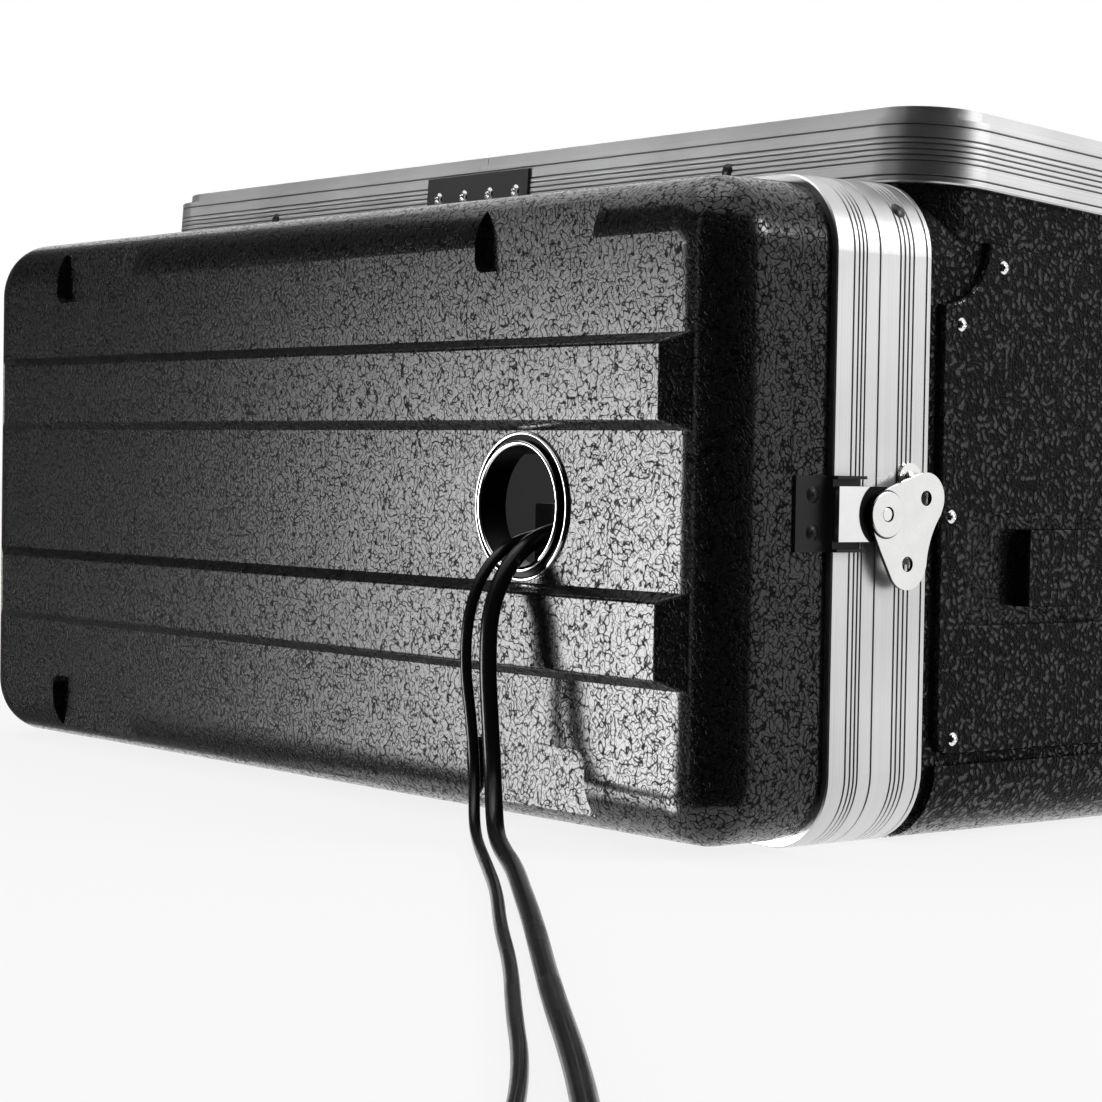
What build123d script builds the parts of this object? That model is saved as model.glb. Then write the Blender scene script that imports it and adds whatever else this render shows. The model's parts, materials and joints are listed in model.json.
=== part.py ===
from build123d import *

import os
from math import asin, atan, cos, pi, radians, sin, tan

# A slant-top rack case for a mixer: a formed body, a lift-off rear door held by two
# half-turn latches, two folding handles, and two cords that leave through the door.
# X runs to the right as seen from the front, Y to the rear and Z up, all in millimetres.

# Case
case_width = 570.0
rear_height = 254.0
case_length = 520.0
top_fall = 0.075
wall = 4.0
soft_edge = 1.5

# Valances, the extruded frames round each opening
band_width = 25.0
band_wall = 3.0
band_radius = 30.0
top_band_radius = 31.0
inner_wall = 2.0
body_web = 3.0
door_web = 9.0
inner_leg = 15.0
tongue_length = 5.0
tongue_thickness = 3.0
tongue_inset = 4.5
groove_clearance = 0.3
groove_depth = 7.0
gasket_thickness = 1.5
vee_width = 0.9
vee_depth = 0.6
edge_bevel = 0.6
straight_sleeve = 30.0
top_setback = 22.6
top_gap = 0.3
butt_gap = 0.35

# V-grooves and step line of each valance, from its seam
body_marks = (8.1, 10.4, 12.8, 15.1, 22.1)
door_marks = (2.7, 9.7, 11.6, 13.6, 16.1)
top_marks = (2.7, 7.8, 10.0, 12.2, 14.4, 16.6, 22.2)

# Foot skirt, raised side panel and recess of the body
collar_depth = 60.0
skirt_height = 30.4
panel_end = 32.0
panel_bottom = 34.5
panel_gap = 20.0
panel_proud = 3.0
scallop_radius = 24.5
panel_corner = 8.0
recess_end = 46.0
recess_centre = 105.7
recess_height = 43.8
recess_depth = 9.0
recess_corner = 8.0
block_end = 84.0
block_margin = 6.6
block_sunk = 0.8
scoop_end = 114.0
scoop_height = 124.0
scoop_depth = 2.5

# Rear door
door_depth = 79.0
door_edge_radius = 22.0
rib_height = 5.0
rib_near = 29.2
rib_far = 65.9
rib_length = 532.0
rib_slope = 4.0
rib_end_slope = 12.0
rib_edge = 1.8
pad_centre = 172.0
pad_width = 74.0
pad_start = 92.0
pad_depth = 6.0
pad_corner = 5.0

# Cable port in the door
port_offset = 168.3
port_bore = 23.5
port_flange = 29.3
port_sheet = 1.4
port_lip_width = 2.4
port_lip_height = 3.1
port_bead_width = 1.7
port_groove_floor = 0.7
port_sleeve_wall = 1.6
port_fit = 0.2
port_nut_radius = 32.0
port_nut_thickness = 4.0

# Rack rails of the 19-inch system
unit = 44.45
hole_inset = 10.95
hole_steps = (6.35, 22.225, 38.1)
tapped_radius = 2.5
rail_sheet = 2.0
rail_width = 18.5
rail_gap = 34.5
rail_end_gap = 32.0
rail_setback = 30.0
rail_depth = 38.0
front_rail_lift = 3.5
top_rail_setback = 28.0
top_rail_depth = 18.0
top_rail_end_gap = 12.0

# Side posts and bars that carry the rails
post_sheet = 2.0
post_bottom = 30.0
post_margin = 3.0
post_clearance = 0.5
bar_margin = 17.25
bar_rivet_step = 110.0

# Rivets and screws
rivet_shank = 1.6
rivet_head = 3.2
rivet_dome = 1.2
side_rivet_head = 2.6
screw_shank = 2.5
screw_head = 4.5
screw_head_height = 2.5
screw_socket = 1.6
screw_grip = 7.0
rail_screw_setback = 20.0
corner_rivet_angle = 35.0
corner_rivet_depth = 11.5
door_rivet_depth = 17.8
top_rivet_depth = 14.5
top_rivet_offset = 170.0
top_side_rivet_offset = 115.0

# Splice plate over the butt joint of the top valance
splice_width = 76.0
splice_height = 20.0
splice_sheet = 1.2
splice_depth = 13.5
splice_rivet_step = 19.4

# Half-turn latch, in its own frame: forward, up and outward from the spindle's foot
latch_overhang = 3.5
base_sheet = 1.5
base_relief = 0.3
base_front = 27.0
base_half = 10.0
boss_radius = 7.5
lug_forward = 17.5
lug_up = 13.5
lug_radius = 5.75
spindle_radius = 1.8
spindle_fit = 0.05
end_play = 0.1
cam_radius = 5.0
cam_throw = 2.0
slot_side = 0.6
slot_end = 2.4
hook_under = 3.0
hook_sheet = 1.5
hook_half = 10.25
hook_tail = 9.0
hook_reach = 22.5
claw_under = 1.9
claw_thickness = 1.5
wing_under = 5.0
wing_sheet = 1.5
wing_angle = 21.0
lobe_reach = 17.5
lobe_spread = 13.25
lobe_radius = 9.7
finger_hole = 2.9
root_reach = 5.0
root_spread = 10.5
root_radius = 4.0
waist_radius = 34.0
waist_depth = 1.6
cap_radius = 8.6
cap_sheet = 1.1
cap_hole = 2.9
spindle_head = 2.5
spindle_head_height = 0.6

# Keeper on the door, in the latch's frame
keeper_sheet = 1.2
keeper_near = 8.5
keeper_far = 38.5
keeper_half = 14.1
keeper_lip_height = 1.6
keeper_lip_width = 1.5
claw_clearance = 0.3
ear_top = 4.6
ear_length = 15.0
keeper_rivet_forward = 30.0
keeper_rivet_up = 7.0

# Folding handle and its dish
flange_length = 200.0
flange_height = 116.0
flange_corner = 20.0
dish_length = 160.0
dish_height = 84.0
dish_sheet = 1.5
dish_depth = 20.0
dish_corner = 14.0
dish_fit = 1.0
handle_rivet_out = 10.0
pivot_up = 28.0
pivot_depth = 8.0
pin_radius = 2.5
pin_fit = 0.1
eye_radius = 5.5
eye_width = 8.0
eye_offset = 70.0
bail_radius = 3.5
bail_drop = 46.0
bail_bend = 12.0
grip_radius = 8.5
grip_length = 98.0
grip_edge = 2.5
ear_sheet = 2.0
ear_gap = 1.0
ear_radius = 6.0
pin_end = 1.0

# Cord bracket behind the cable port, and its anchor block
bracket_sheet = 2.0
bracket_side = 36.0
bracket_drop = 41.0
shelf_length = 34.0
anchor_width = 34.0
anchor_length = 20.0
anchor_height = 40.0
anchor_screw_offset = 9.0

# Cords. A route's points are X, distance behind the rear seam, and height.
mains_radius = 3.4
mains_route = [
    (-171.0, 50.0, 119.6), (-171.2, 68.0, 118.2), (-172.0, 86.7, 107.3), (-173.5, 98.0, 88.5),
    (-175.5, 100.3, 66.0), (-177.5, 100.0, 44.5), (-182.0, 101.6, 22.5), (-197.6, 112.3, 6.0),
    (-222.0, 128.0, 3.5), (-262.0, 153.0, 3.5), (-308.0, 185.0, 3.5), (-364.0, 224.0, 3.5),
    (-446.0, 283.0, 3.5), (-520.0, 334.0, 3.5), (-585.0, 382.0, 3.5), (-640.0, 416.0, 3.5),
]
audio_radius = 2.25
audio_route = [
    (-160.5, 50.0, 117.5), (-161.0, 72.0, 116.0), (-162.0, 91.0, 105.0), (-163.5, 101.0, 86.0),
    (-164.0, 102.5, 65.0), (-165.5, 100.0, 44.0), (-169.5, 101.0, 23.5), (-182.0, 110.5, 7.0),
    (-205.0, 125.5, 2.35), (-244.0, 151.5, 2.35), (-296.0, 186.5, 2.35), (-350.0, 226.5, 2.35),
    (-404.0, 264.0, 2.35), (-457.0, 304.0, 2.35), (-508.0, 341.0, 2.35), (-556.0, 381.0, 2.35),
    (-597.0, 425.0, 2.35),
]
arc_share = 0.45
mains_coil = {"side": 1, "radius": 43.0, "pitch": 7.4, "layer": 7.4, "turns_in": 4, "tail": 25.0}
audio_coil = {"side": -1, "radius": 32.0, "pitch": 5.0, "layer": 5.0, "turns_in": 6, "tail": 20.0}
gap_steps = 12

# Plugs on the cords
relief_length = 22.0
relief_radius = 5.6
plug_length = 34.0
plug_width = 26.0
plug_height = 21.0
plug_corner = 5.0
blade_length = 16.0
blade_spacing = 12.7
blade_width = 6.3
blade_sheet = 1.5
blade_up = 4.0
ground_radius = 2.4
ground_drop = 7.9
jack_relief_length = 14.0
jack_relief_radius = 4.2
barrel_length = 38.0
barrel_radius = 7.2
jack_radius = 3.175
jack_length = 31.0
jack_waist = 2.2

# Sizes that follow from those above
overlap = 0.5
through = 100.0
slot = band_wall + wall
frame_depth = slot + inner_wall
door_out = door_depth + rib_height
seam_y = (case_length + tongue_length - door_out) / 2
door_centre = rear_height / 2
shell_half = case_width / 2 - band_wall
side_face = shell_half + panel_proud
slope = atan(top_fall)
top_run = case_length - 2 * top_setback
top_edge_rear = rear_height + top_gap
top_edge_front = top_edge_rear - top_fall * top_run
front_height = top_edge_front - top_gap
top_length = top_run / cos(slope)
middle = case_length / 2
rail_outer = shell_half - wall - rail_gap
rail_inner = rail_outer - rail_width
hole_spacing = 2 * (rail_outer - hole_inset)
rear_units = int((rear_height - 2 * rail_end_gap) / unit)
front_units = int((front_height - frame_depth - front_rail_lift - top_rail_setback) / unit)
top_units = int((top_length - 2 * top_rail_end_gap) / unit)
bar_length = top_units * unit - 2 * bar_margin
rivet_grip = frame_depth
recess_floor = side_face - recess_depth
scoop_floor = side_face - scoop_depth


def at(behind_seam):
    """Y of a plane that lies the given distance behind the rear seam."""
    return seam_y + behind_seam


def side_plane(outward, forward=0.0, up=0.0):
    """Plane on the left side: its x runs forward, its y up and its z outwards."""
    return Plane(origin=(-outward, seam_y - forward, up), x_dir=(0, -1, 0), z_dir=(-1, 0, 0))


# Each opening has its own plane in its seam: x across, y up and z into the piece behind it.
rear_plane = Plane(origin=(0, seam_y, door_centre), x_dir=(1, 0, 0), z_dir=(0, -1, 0))
door_plane = Plane(origin=(0, seam_y, door_centre), x_dir=(-1, 0, 0), z_dir=(0, 1, 0))
front_plane = Plane(origin=(0, at(-case_length), front_height / 2), x_dir=(-1, 0, 0),
                    z_dir=(0, 1, 0))
top_normal = Vector(0, -sin(slope), cos(slope))
top_origin = Vector(0, at(-middle), (top_edge_rear + top_edge_front) / 2)
top_plane = Plane(origin=top_origin + top_normal * band_width, x_dir=(-1, 0, 0),
                  z_dir=top_normal * -1)
latch_plane = side_plane(side_face, -latch_overhang, door_centre)
handle_plane = side_plane(side_face, middle, recess_centre)


def place(plane, shape):
    """The shape moved from the common origin onto a plane."""
    return plane.location * shape


def block(corner, opposite):
    """Box between two opposite corners."""
    low = [min(pair) for pair in zip(corner, opposite)]
    high = [max(pair) for pair in zip(corner, opposite)]
    size = [b - a for a, b in zip(low, high)]
    return Pos(*low) * Box(*size, align=(Align.MIN, Align.MIN, Align.MIN))


def slab(outline, low, high):
    """Outline extruded from one height to another."""
    return extrude(Pos(0, 0, low) * outline, high - low)


def disc(radius, low, high, x=0.0, y=0.0):
    """Round boss or hole along z."""
    return slab(Pos(x, y) * Circle(radius), low, high)


def bar(start, end, radius):
    """Round bar from one point to another."""
    axis = Vector(*end) - Vector(*start)
    return place(Plane(origin=start, z_dir=axis), extrude(Circle(radius), axis.length))


def mirrored(shape):
    """The same piece on the other side of the case."""
    return mirror(shape, about=Plane.YZ)


def group(shapes):
    """Several separate solids kept together as one node."""
    return Compound(children=[solid for shape in shapes for solid in shape.solids()])


def top_edges(shape):
    """Edges of the highest face, before a piece is put in place."""
    return shape.faces().sort_by(Axis.Z)[-1].edges()


# Rivets and screws


def rivet(plane, grip, head=rivet_head, dome=rivet_dome):
    """Domed rivet: its head stands on the plane and its shank goes back by the grip."""
    sphere = (head ** 2 + dome ** 2) / (2 * dome)
    half = asin(head / sphere) / 2
    shoulder = (sphere * sin(half), dome - sphere * (1 - cos(half)))
    lines = Polyline((0, dome), (0, -grip), (rivet_shank, -grip), (rivet_shank, 0), (head, 0))
    crown = ThreePointArc((head, 0), shoulder, (0, dome))
    profile = make_face(Wire([*lines.edges(), crown]))
    return place(plane, revolve(Plane.XZ.location * profile, Axis.Z))


def rivets(planes, grip, head=rivet_head, dome=rivet_dome, lift=0.0):
    return [rivet(plane.offset(lift), grip, head, dome) for plane in planes]


def holes(planes, depth, radius=rivet_shank):
    """Round holes that run from just outside each plane back by the depth."""
    return [place(plane, disc(radius, -depth, depth)) for plane in planes]


def screw(plane):
    """Button-head screw with a hexagon socket."""
    head = disc(screw_head, 0, screw_head_height)
    head = fillet(top_edges(head), screw_head_height / 2)
    socket = slab(RegularPolygon(screw_socket, 6), screw_head_height / 2, 2 * screw_head_height)
    return place(plane, head + disc(screw_shank, -screw_grip, 0) - socket)


# Valances


def ring_path(width, height, radius):
    """Closed path along the outer edge of a rounded frame, from the middle of its bottom."""
    x, y = width / 2 - radius, height / 2 - radius
    turns = [((x, -y), -90), ((x, y), 0), ((-x, y), 90), ((-x, -y), 180)]
    arcs = [CenterArc(centre, radius, start, 90) for centre, start in turns]
    ends = [arc @ 0 for arc in arcs[1:]] + [Vector(0, -height / 2)]
    edges = [Line((0, -height / 2), arcs[0] @ 0)]
    for arc, end in zip(arcs, ends):
        edges += [arc, Line(arc @ 1, end)]
    return Wire(edges)


def ring(width, height, radius, outline):
    """Frame with a constant section, given as depth from outside and distance from the seam."""
    points = [(0, -height / 2 + depth, along) for depth, along in outline]
    return sweep(make_face(Polyline(*points, close=True)), path=ring_path(width, height, radius))


def band_outline(marks, web, joint):
    """Section of a valance: grooved band, slot for the sheet, inner leg, and half a joint."""
    points = [(0, 0)]
    for mark in marks:
        points += [(0, mark - vee_width / 2), (vee_depth, mark), (0, mark + vee_width / 2)]
    points += [(0, band_width - edge_bevel), (edge_bevel, band_width), (band_wall, band_width)]
    points += [(band_wall, web), (slot, web), (slot, web + inner_leg)]
    points += [(frame_depth, web + inner_leg), (frame_depth, 0)]
    return points + joint


tongue_end = tongue_inset + tongue_thickness
tongue = [(tongue_end, 0), (tongue_end, -tongue_length), (tongue_inset, -tongue_length),
          (tongue_inset, 0)]
groove_start = tongue_inset - groove_clearance
groove_end = tongue_end + groove_clearance
groove = [(groove_end, 0), (groove_end, groove_depth), (groove_start, groove_depth),
          (groove_start, 0)]


def body_valance(plane, height):
    outline = band_outline(body_marks, body_web, tongue)
    return place(plane, ring(case_width, height, band_radius, outline))


def top_valance():
    outline = band_outline(top_marks, body_web, tongue)
    frame = ring(case_width, top_length, top_band_radius, outline)
    butt = block((-butt_gap / 2, top_length / 2 - through, -through),
                 (butt_gap / 2, top_length / 2 + through, through))
    return place(top_plane, frame - butt)


def door_valance():
    outline = band_outline(door_marks, door_web, groove)
    return place(door_plane, ring(case_width, rear_height, band_radius, outline))


def door_gasket():
    face = groove_depth - gasket_thickness
    outline = [(groove_start, face), (groove_end, face), (groove_end, groove_depth),
               (groove_start, groove_depth)]
    return place(door_plane, ring(case_width, rear_height, band_radius, outline))


# Rivets of the valances


def edge_plane(opening, x, y, out_x, out_y, depth):
    """Plane on the outer face of an opening's frame, with its z outwards."""
    origin = opening.from_local_coords(Vector(x, y, depth))
    tip = opening.from_local_coords(Vector(x + out_x, y + out_y, depth))
    return Plane(origin=origin, z_dir=tip - origin)


def corner_planes(opening, height):
    """One rivet in each upper corner arc of a body valance."""
    turn = radians(corner_rivet_angle)
    x = case_width / 2 - band_radius + band_radius * cos(turn)
    y = height / 2 - band_radius + band_radius * sin(turn)
    return [edge_plane(opening, side * x, y, side * cos(turn), sin(turn), corner_rivet_depth)
            for side in (-1, 1)]


def top_planes():
    """Rivets of the top valance, two on each of its four runs."""
    ends = [edge_plane(top_plane, side * top_rivet_offset, end * top_length / 2, 0, end,
                       top_rivet_depth) for end in (-1, 1) for side in (-1, 1)]
    sides = [edge_plane(top_plane, side * case_width / 2, end * top_side_rivet_offset, side, 0,
                        top_rivet_depth) for end in (-1, 1) for side in (-1, 1)]
    return ends + sides


rear_rivet_planes = corner_planes(rear_plane, rear_height)
front_rivet_planes = corner_planes(front_plane, front_height)
top_rivet_planes = top_planes()
door_rivet_planes = [edge_plane(door_plane, side * top_rivet_offset, rear_height / 2, 0, 1,
                                door_rivet_depth) for side in (-1, 1)]
splice_rivet_planes = [edge_plane(top_plane, step * splice_rivet_step, top_length / 2, 0, 1,
                                  splice_depth) for step in (-1.5, -0.5, 0.5, 1.5)]


def splice_plate():
    low = splice_depth - splice_height / 2
    plate = block((-splice_width / 2, top_length / 2, low),
                  (splice_width / 2, top_length / 2 + splice_sheet, low + splice_height))
    return place(top_plane, plate) - holes(splice_rivet_planes, rivet_grip)


# Body shell


def sheet_top(behind_seam):
    """Height of the body's shoulder, level in each valance and falling between them."""
    sloped = case_length - 2 * straight_sleeve
    share = min(max((-behind_seam - straight_sleeve) / sloped, 0), 1)
    return rear_height - band_wall - share * (rear_height - front_height)


def lower_block(inset, over):
    """Rounded block from the rear to the front opening, drawn in by inset all round."""
    radius = band_radius - band_wall - inset
    low = band_wall + inset
    rear_end = -body_web + over
    stations = (rear_end, -straight_sleeve, -case_length + straight_sleeve,
                -case_length - rear_end)
    sections = []
    for behind_seam in stations:
        high = sheet_top(behind_seam) - inset
        outline = RectangleRounded(2 * (shell_half - inset), high - low, radius)
        plane = Plane(origin=(0, at(behind_seam), (low + high) / 2), x_dir=(-1, 0, 0),
                      z_dir=(0, 1, 0))
        sections.append(place(plane, outline))
    return loft(sections, ruled=True)


def upper_block(inset, start, end):
    """Collar under the top valance, square to the sloping top."""
    outline = RectangleRounded(2 * (shell_half - inset), top_length - 2 * (band_wall + inset),
                               top_band_radius - band_wall - inset)
    return place(top_plane, slab(outline, start, end))


def cavity():
    """Inner space of the body."""
    return lower_block(wall, body_web + wall) + upper_block(wall, -wall, collar_depth)


def skirt():
    """Foot skirt that wraps the bottom edges and stands level with the valances."""
    outline = RectangleRounded(case_width, rear_height, band_radius)
    whole = place(rear_plane, slab(outline, panel_end, case_length - panel_end))
    return whole & block((-case_width, at(0), 0), (case_width, at(-case_length), skirt_height))


def panel_top(forward):
    """Height of the raised panel's top edge, along under the top valance."""
    return top_edge_rear - top_fall * (forward - top_setback) - panel_gap


def panel_outline():
    """Raised side panel in the side plane, with its two scalloped upper corners."""
    rear, front = panel_end, case_length - panel_end
    rear_up = panel_top(rear + scallop_radius)
    front_up = panel_top(front - scallop_radius)
    bulge = scallop_radius * cos(radians(45))
    low = panel_bottom + panel_corner
    cut = panel_corner * (1 - cos(radians(45)))
    return make_face(Wire([
        Line((rear, low), (rear, rear_up - scallop_radius)),
        ThreePointArc((rear, rear_up - scallop_radius), (rear + bulge, rear_up - bulge),
                      (rear + scallop_radius, rear_up)),
        Line((rear + scallop_radius, rear_up), (front - scallop_radius, front_up)),
        ThreePointArc((front - scallop_radius, front_up), (front - bulge, front_up - bulge),
                      (front, front_up - scallop_radius)),
        Line((front, front_up - scallop_radius), (front, low)),
        ThreePointArc((front, low), (front - cut, panel_bottom + cut),
                      (front - panel_corner, panel_bottom)),
        Line((front - panel_corner, panel_bottom), (rear + panel_corner, panel_bottom)),
        ThreePointArc((rear + panel_corner, panel_bottom), (rear + cut, panel_bottom + cut),
                      (rear, low)),
    ]))


def side_panel():
    raised = slab(panel_outline(), 0, panel_proud + overlap)
    raised = fillet(top_edges(raised), soft_edge)
    return place(side_plane(shell_half - overlap), raised)


def recess(margin, low, high):
    """Long rounded bar on the recess's centre line, between two distances from the middle."""
    outline = RectangleRounded(case_length - 2 * (recess_end - margin),
                               recess_height + 2 * margin, recess_corner + margin)
    return place(side_plane(0, middle, recess_centre), slab(outline, low, high))


def recess_block():
    """Raised block that stands in the recess."""
    outline = RectangleRounded(case_length - 2 * block_end, recess_height - 2 * block_margin,
                               soft_edge)
    raised = slab(outline, 0, recess_depth - block_sunk + overlap)
    raised = fillet(top_edges(raised), soft_edge / 2)
    return place(side_plane(recess_floor - overlap, middle, recess_centre), raised)


def scoop():
    """Shallow stadium that the handle's flange sits in."""
    outline = RectangleRounded(case_length - 2 * scoop_end, scoop_height, 0.49 * scoop_height)
    return place(side_plane(scoop_floor, middle, recess_centre), slab(outline, 0, through))


def dish_hole():
    margin = dish_sheet + dish_fit
    outline = RectangleRounded(dish_length + 2 * margin, dish_height + 2 * margin,
                               dish_corner + margin)
    return place(side_plane(side_face, middle, recess_centre),
                 slab(outline, -2 * dish_depth, dish_depth))


def side_rivet_spots():
    """Forward distance and height of the bright rivets at the rear and at the front."""
    spots = []
    for mirror_end in (False, True):
        corner = panel_end + scallop_radius
        upper = [(65.0, 8.6), (42.0, scallop_radius + 7.7)]
        for forward, drop in upper:
            reach = case_length - forward if mirror_end else forward
            edge = case_length - corner if mirror_end else max(corner, forward)
            spots.append((reach, panel_top(edge) - drop))
        for forward, up in ((38.5, 126.0), (41.6, 40.5)):
            spots.append((case_length - forward if mirror_end else forward, up))
    return spots


side_spots = side_rivet_spots()
side_rivet_planes = [side_plane(side_face, forward, up) for forward, up in side_spots]
bar_centre = top_rail_setback + rail_sheet + (top_rail_depth - rail_sheet) / 2
bar_rivet_planes = [edge_plane(top_plane, shell_half, along, 1, 0, bar_centre)
                    for along in (-bar_rivet_step, 0, bar_rivet_step)]
handle_rivet_planes = [
    side_plane(scoop_floor + dish_sheet, middle + x * (dish_length / 2 + handle_rivet_out),
               recess_centre + y * (dish_height / 2 + handle_rivet_out))
    for x in (-1, 0, 1) for y in (-1, 1)]
lug_rivet_planes = [latch_plane * Pos(lug_forward, side * lug_up, 0) for side in (-1, 1)]
lug_rivet_planes = [Plane(spot) for spot in lug_rivet_planes]


def body_shell():
    hollow = cavity()
    shell = lower_block(0, 0) + upper_block(0, body_web, collar_depth) - hollow
    shell += skirt() - hollow
    panel = side_panel() + recess(wall, recess_floor - wall, shell_half)
    shell += [panel, mirrored(panel)]
    channel = recess(0, recess_floor, side_face + overlap)
    shell -= [channel, mirrored(channel)]
    raised = recess_block()
    shell += [raised, mirrored(raised)]
    drill = holes(side_rivet_planes + bar_rivet_planes, slot + panel_proud)
    drill += holes(handle_rivet_planes + lug_rivet_planes, slot)
    cuts = [scoop(), dish_hole()] + drill
    cuts += [mirrored(cut) for cut in cuts]
    cuts += holes(rear_rivet_planes + front_rivet_planes + top_rivet_planes, rivet_grip)
    cuts += holes(splice_rivet_planes, rivet_grip)
    return shell - cuts


# Rails, posts and bars, drawn in an opening's plane: x outwards, y along and z inwards


def rail_screw_spots(start, length):
    return [start + share * length for share in (0.12, 0.5, 0.88)]


def cross_planes(ys, depth):
    """Planes on the inner face of a rail's side flange, with z towards the middle."""
    return [Plane(origin=(rail_outer - rail_sheet, y, depth), z_dir=(-1, 0, 0)) for y in ys]


def rail(units, start, setback, depth, screw_depth):
    """Rack rail with its tapped holes and the side flange that the screws pass through."""
    length = units * unit
    body = block((rail_inner, start, setback), (rail_outer, start + length, setback + rail_sheet))
    body += block((rail_outer - rail_sheet, start, setback),
                  (rail_outer, start + length, setback + depth))
    tapped = [disc(tapped_radius, 0, through, hole_spacing / 2, start + level * unit + step)
              for level in range(units) for step in hole_steps]
    screws = cross_planes(rail_screw_spots(start, length), screw_depth)
    return body - tapped - holes(screws, screw_grip, screw_shank)


def carrier(low, high, setback, depth, screws):
    """Channel that fills the space between a rail's side flange and the body's wall."""
    wall_face = shell_half - wall
    front = setback + rail_sheet
    back = setback + depth
    body = block((rail_outer, low, front), (rail_outer + post_sheet, high, back))
    body += block((wall_face - post_sheet, low, front), (wall_face, high, back))
    body += block((rail_outer, low, back - post_sheet), (wall_face, high, back))
    return body - holes(screws, screw_grip, screw_shank)


rear_start = -rear_units * unit / 2
front_start = frame_depth + front_rail_lift - front_height / 2
top_start = -top_units * unit / 2
rear_screws = cross_planes(rail_screw_spots(rear_start, rear_units * unit),
                           rail_setback + rail_screw_setback)
front_screws = cross_planes(rail_screw_spots(front_start, front_units * unit),
                            rail_setback + rail_screw_setback)
top_screws = cross_planes(rail_screw_spots(top_start, top_units * unit), bar_centre)
rear_post_top = side_spots[0][1] + post_margin - door_centre
front_post_top = side_spots[4][1] + post_margin - front_height / 2


def rear_rail():
    return place(rear_plane, rail(rear_units, rear_start, rail_setback, rail_depth,
                                  rail_setback + rail_screw_setback))


def front_rail():
    return place(front_plane, rail(front_units, front_start, rail_setback, rail_depth,
                                   rail_setback + rail_screw_setback))


def top_rail():
    return place(top_plane, rail(top_units, top_start, top_rail_setback, top_rail_depth,
                                 bar_centre))


def post(opening, centre, top, screws):
    """Upright channel at an opening, cut clear of the recess and drilled for the rivets."""
    body = carrier(post_bottom - centre, top, rail_setback, rail_depth + post_sheet, screws)
    body = place(opening, body)
    clear = recess(wall + post_clearance, recess_floor - wall - post_clearance, through + side_face)
    drill = holes(side_rivet_planes, slot + panel_proud + post_sheet)
    cuts = [clear, *drill]
    return (body - cuts - [mirrored(cut) for cut in cuts]) & cavity()


def top_bar():
    body = carrier(-bar_length / 2, bar_length / 2, top_rail_setback, top_rail_depth + post_sheet,
                   top_screws)
    return place(top_plane, body) - holes(bar_rivet_planes, slot + post_sheet)


def rail_screws():
    left = [place(front_plane, screw(plane)) for plane in front_screws]
    left += [place(top_plane, screw(plane)) for plane in top_screws]
    left += [place(rear_plane, screw(plane)) for plane in rear_screws]
    return group(left + [mirrored(piece) for piece in left])


# Half-turn latch, drawn in the latch's plane


def latch_base():
    """Plate riveted to the body's valance, relieved where it reaches over the door's."""
    plate = block((0, -base_half, 0), (base_front, base_half, base_sheet))
    plate += disc(boss_radius, 0, base_sheet)
    for side in (-1, 1):
        plate += disc(lug_radius, 0, base_sheet, lug_forward, side * lug_up)
        plate -= disc(rivet_shank, -overlap, base_sheet + overlap, lug_forward, side * lug_up)
    plate -= block((-boss_radius, -base_half, 0),
                   (latch_overhang - base_relief, base_half, base_relief))
    return place(latch_plane, plate - disc(spindle_radius, 0, base_sheet))


head_under = wing_under + wing_sheet + end_play


def latch_spindle():
    pin = disc(spindle_radius, base_relief, head_under)
    head = disc(spindle_head, head_under, head_under + spindle_head_height)
    head = fillet(top_edges(head), spindle_head_height / 2)
    return place(latch_plane, pin + head)


def latch_cam():
    cam = disc(cam_radius, base_sheet + end_play, wing_under, cam_throw)
    return place(latch_plane, cam - disc(spindle_radius + spindle_fit, 0, wing_under))


def wing_outline():
    """Two lobes joined to the root under the cap, with a shallow waist between the lobes."""
    rounds = []
    for side in (-1, 1):
        rounds.append(Pos(lobe_reach, side * lobe_spread) * Circle(lobe_radius))
        rounds.append(Pos(root_reach, side * root_spread) * Circle(root_radius))
    rounds.append(Circle(cap_radius))
    outline = make_hull([edge for circle in rounds for edge in circle.edges()])
    tip = lobe_reach + lobe_radius
    waist = Pos(tip - waist_depth + waist_radius, 0) * Circle(waist_radius)
    finger = [Pos(lobe_reach, side * lobe_spread) * Circle(finger_hole) for side in (-1, 1)]
    return outline - waist - finger - Circle(spindle_radius + spindle_fit)


def latch_wing():
    plate = slab(Rot(0, 0, -wing_angle) * wing_outline(), wing_under, wing_under + wing_sheet)
    return place(latch_plane, plate)


def latch_cap():
    """Cap on the wing, with the spindle's head sunk in its hole."""
    under = wing_under + wing_sheet
    cap = disc(cap_radius, under, under + cap_sheet)
    cap = fillet(top_edges(cap), cap_sheet / 2)
    return place(latch_plane, cap - disc(cap_hole, 0, 2 * under))


def latch_hook():
    """Plate that the cam draws along, with a slot for the cam and a claw at its rear end."""
    top = hook_under + hook_sheet
    plate = block((hook_tail, -hook_half, hook_under), (-hook_reach, hook_half, top))
    plate += block((-hook_reach, -hook_half, claw_under),
                   (-hook_reach + claw_thickness, hook_half, top))
    along = cam_radius + slot_side
    plate -= block((cam_throw - along, -cam_radius - slot_end, 0),
                   (cam_throw + along, cam_radius + slot_end, 2 * top))
    return place(latch_plane, plate)


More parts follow.
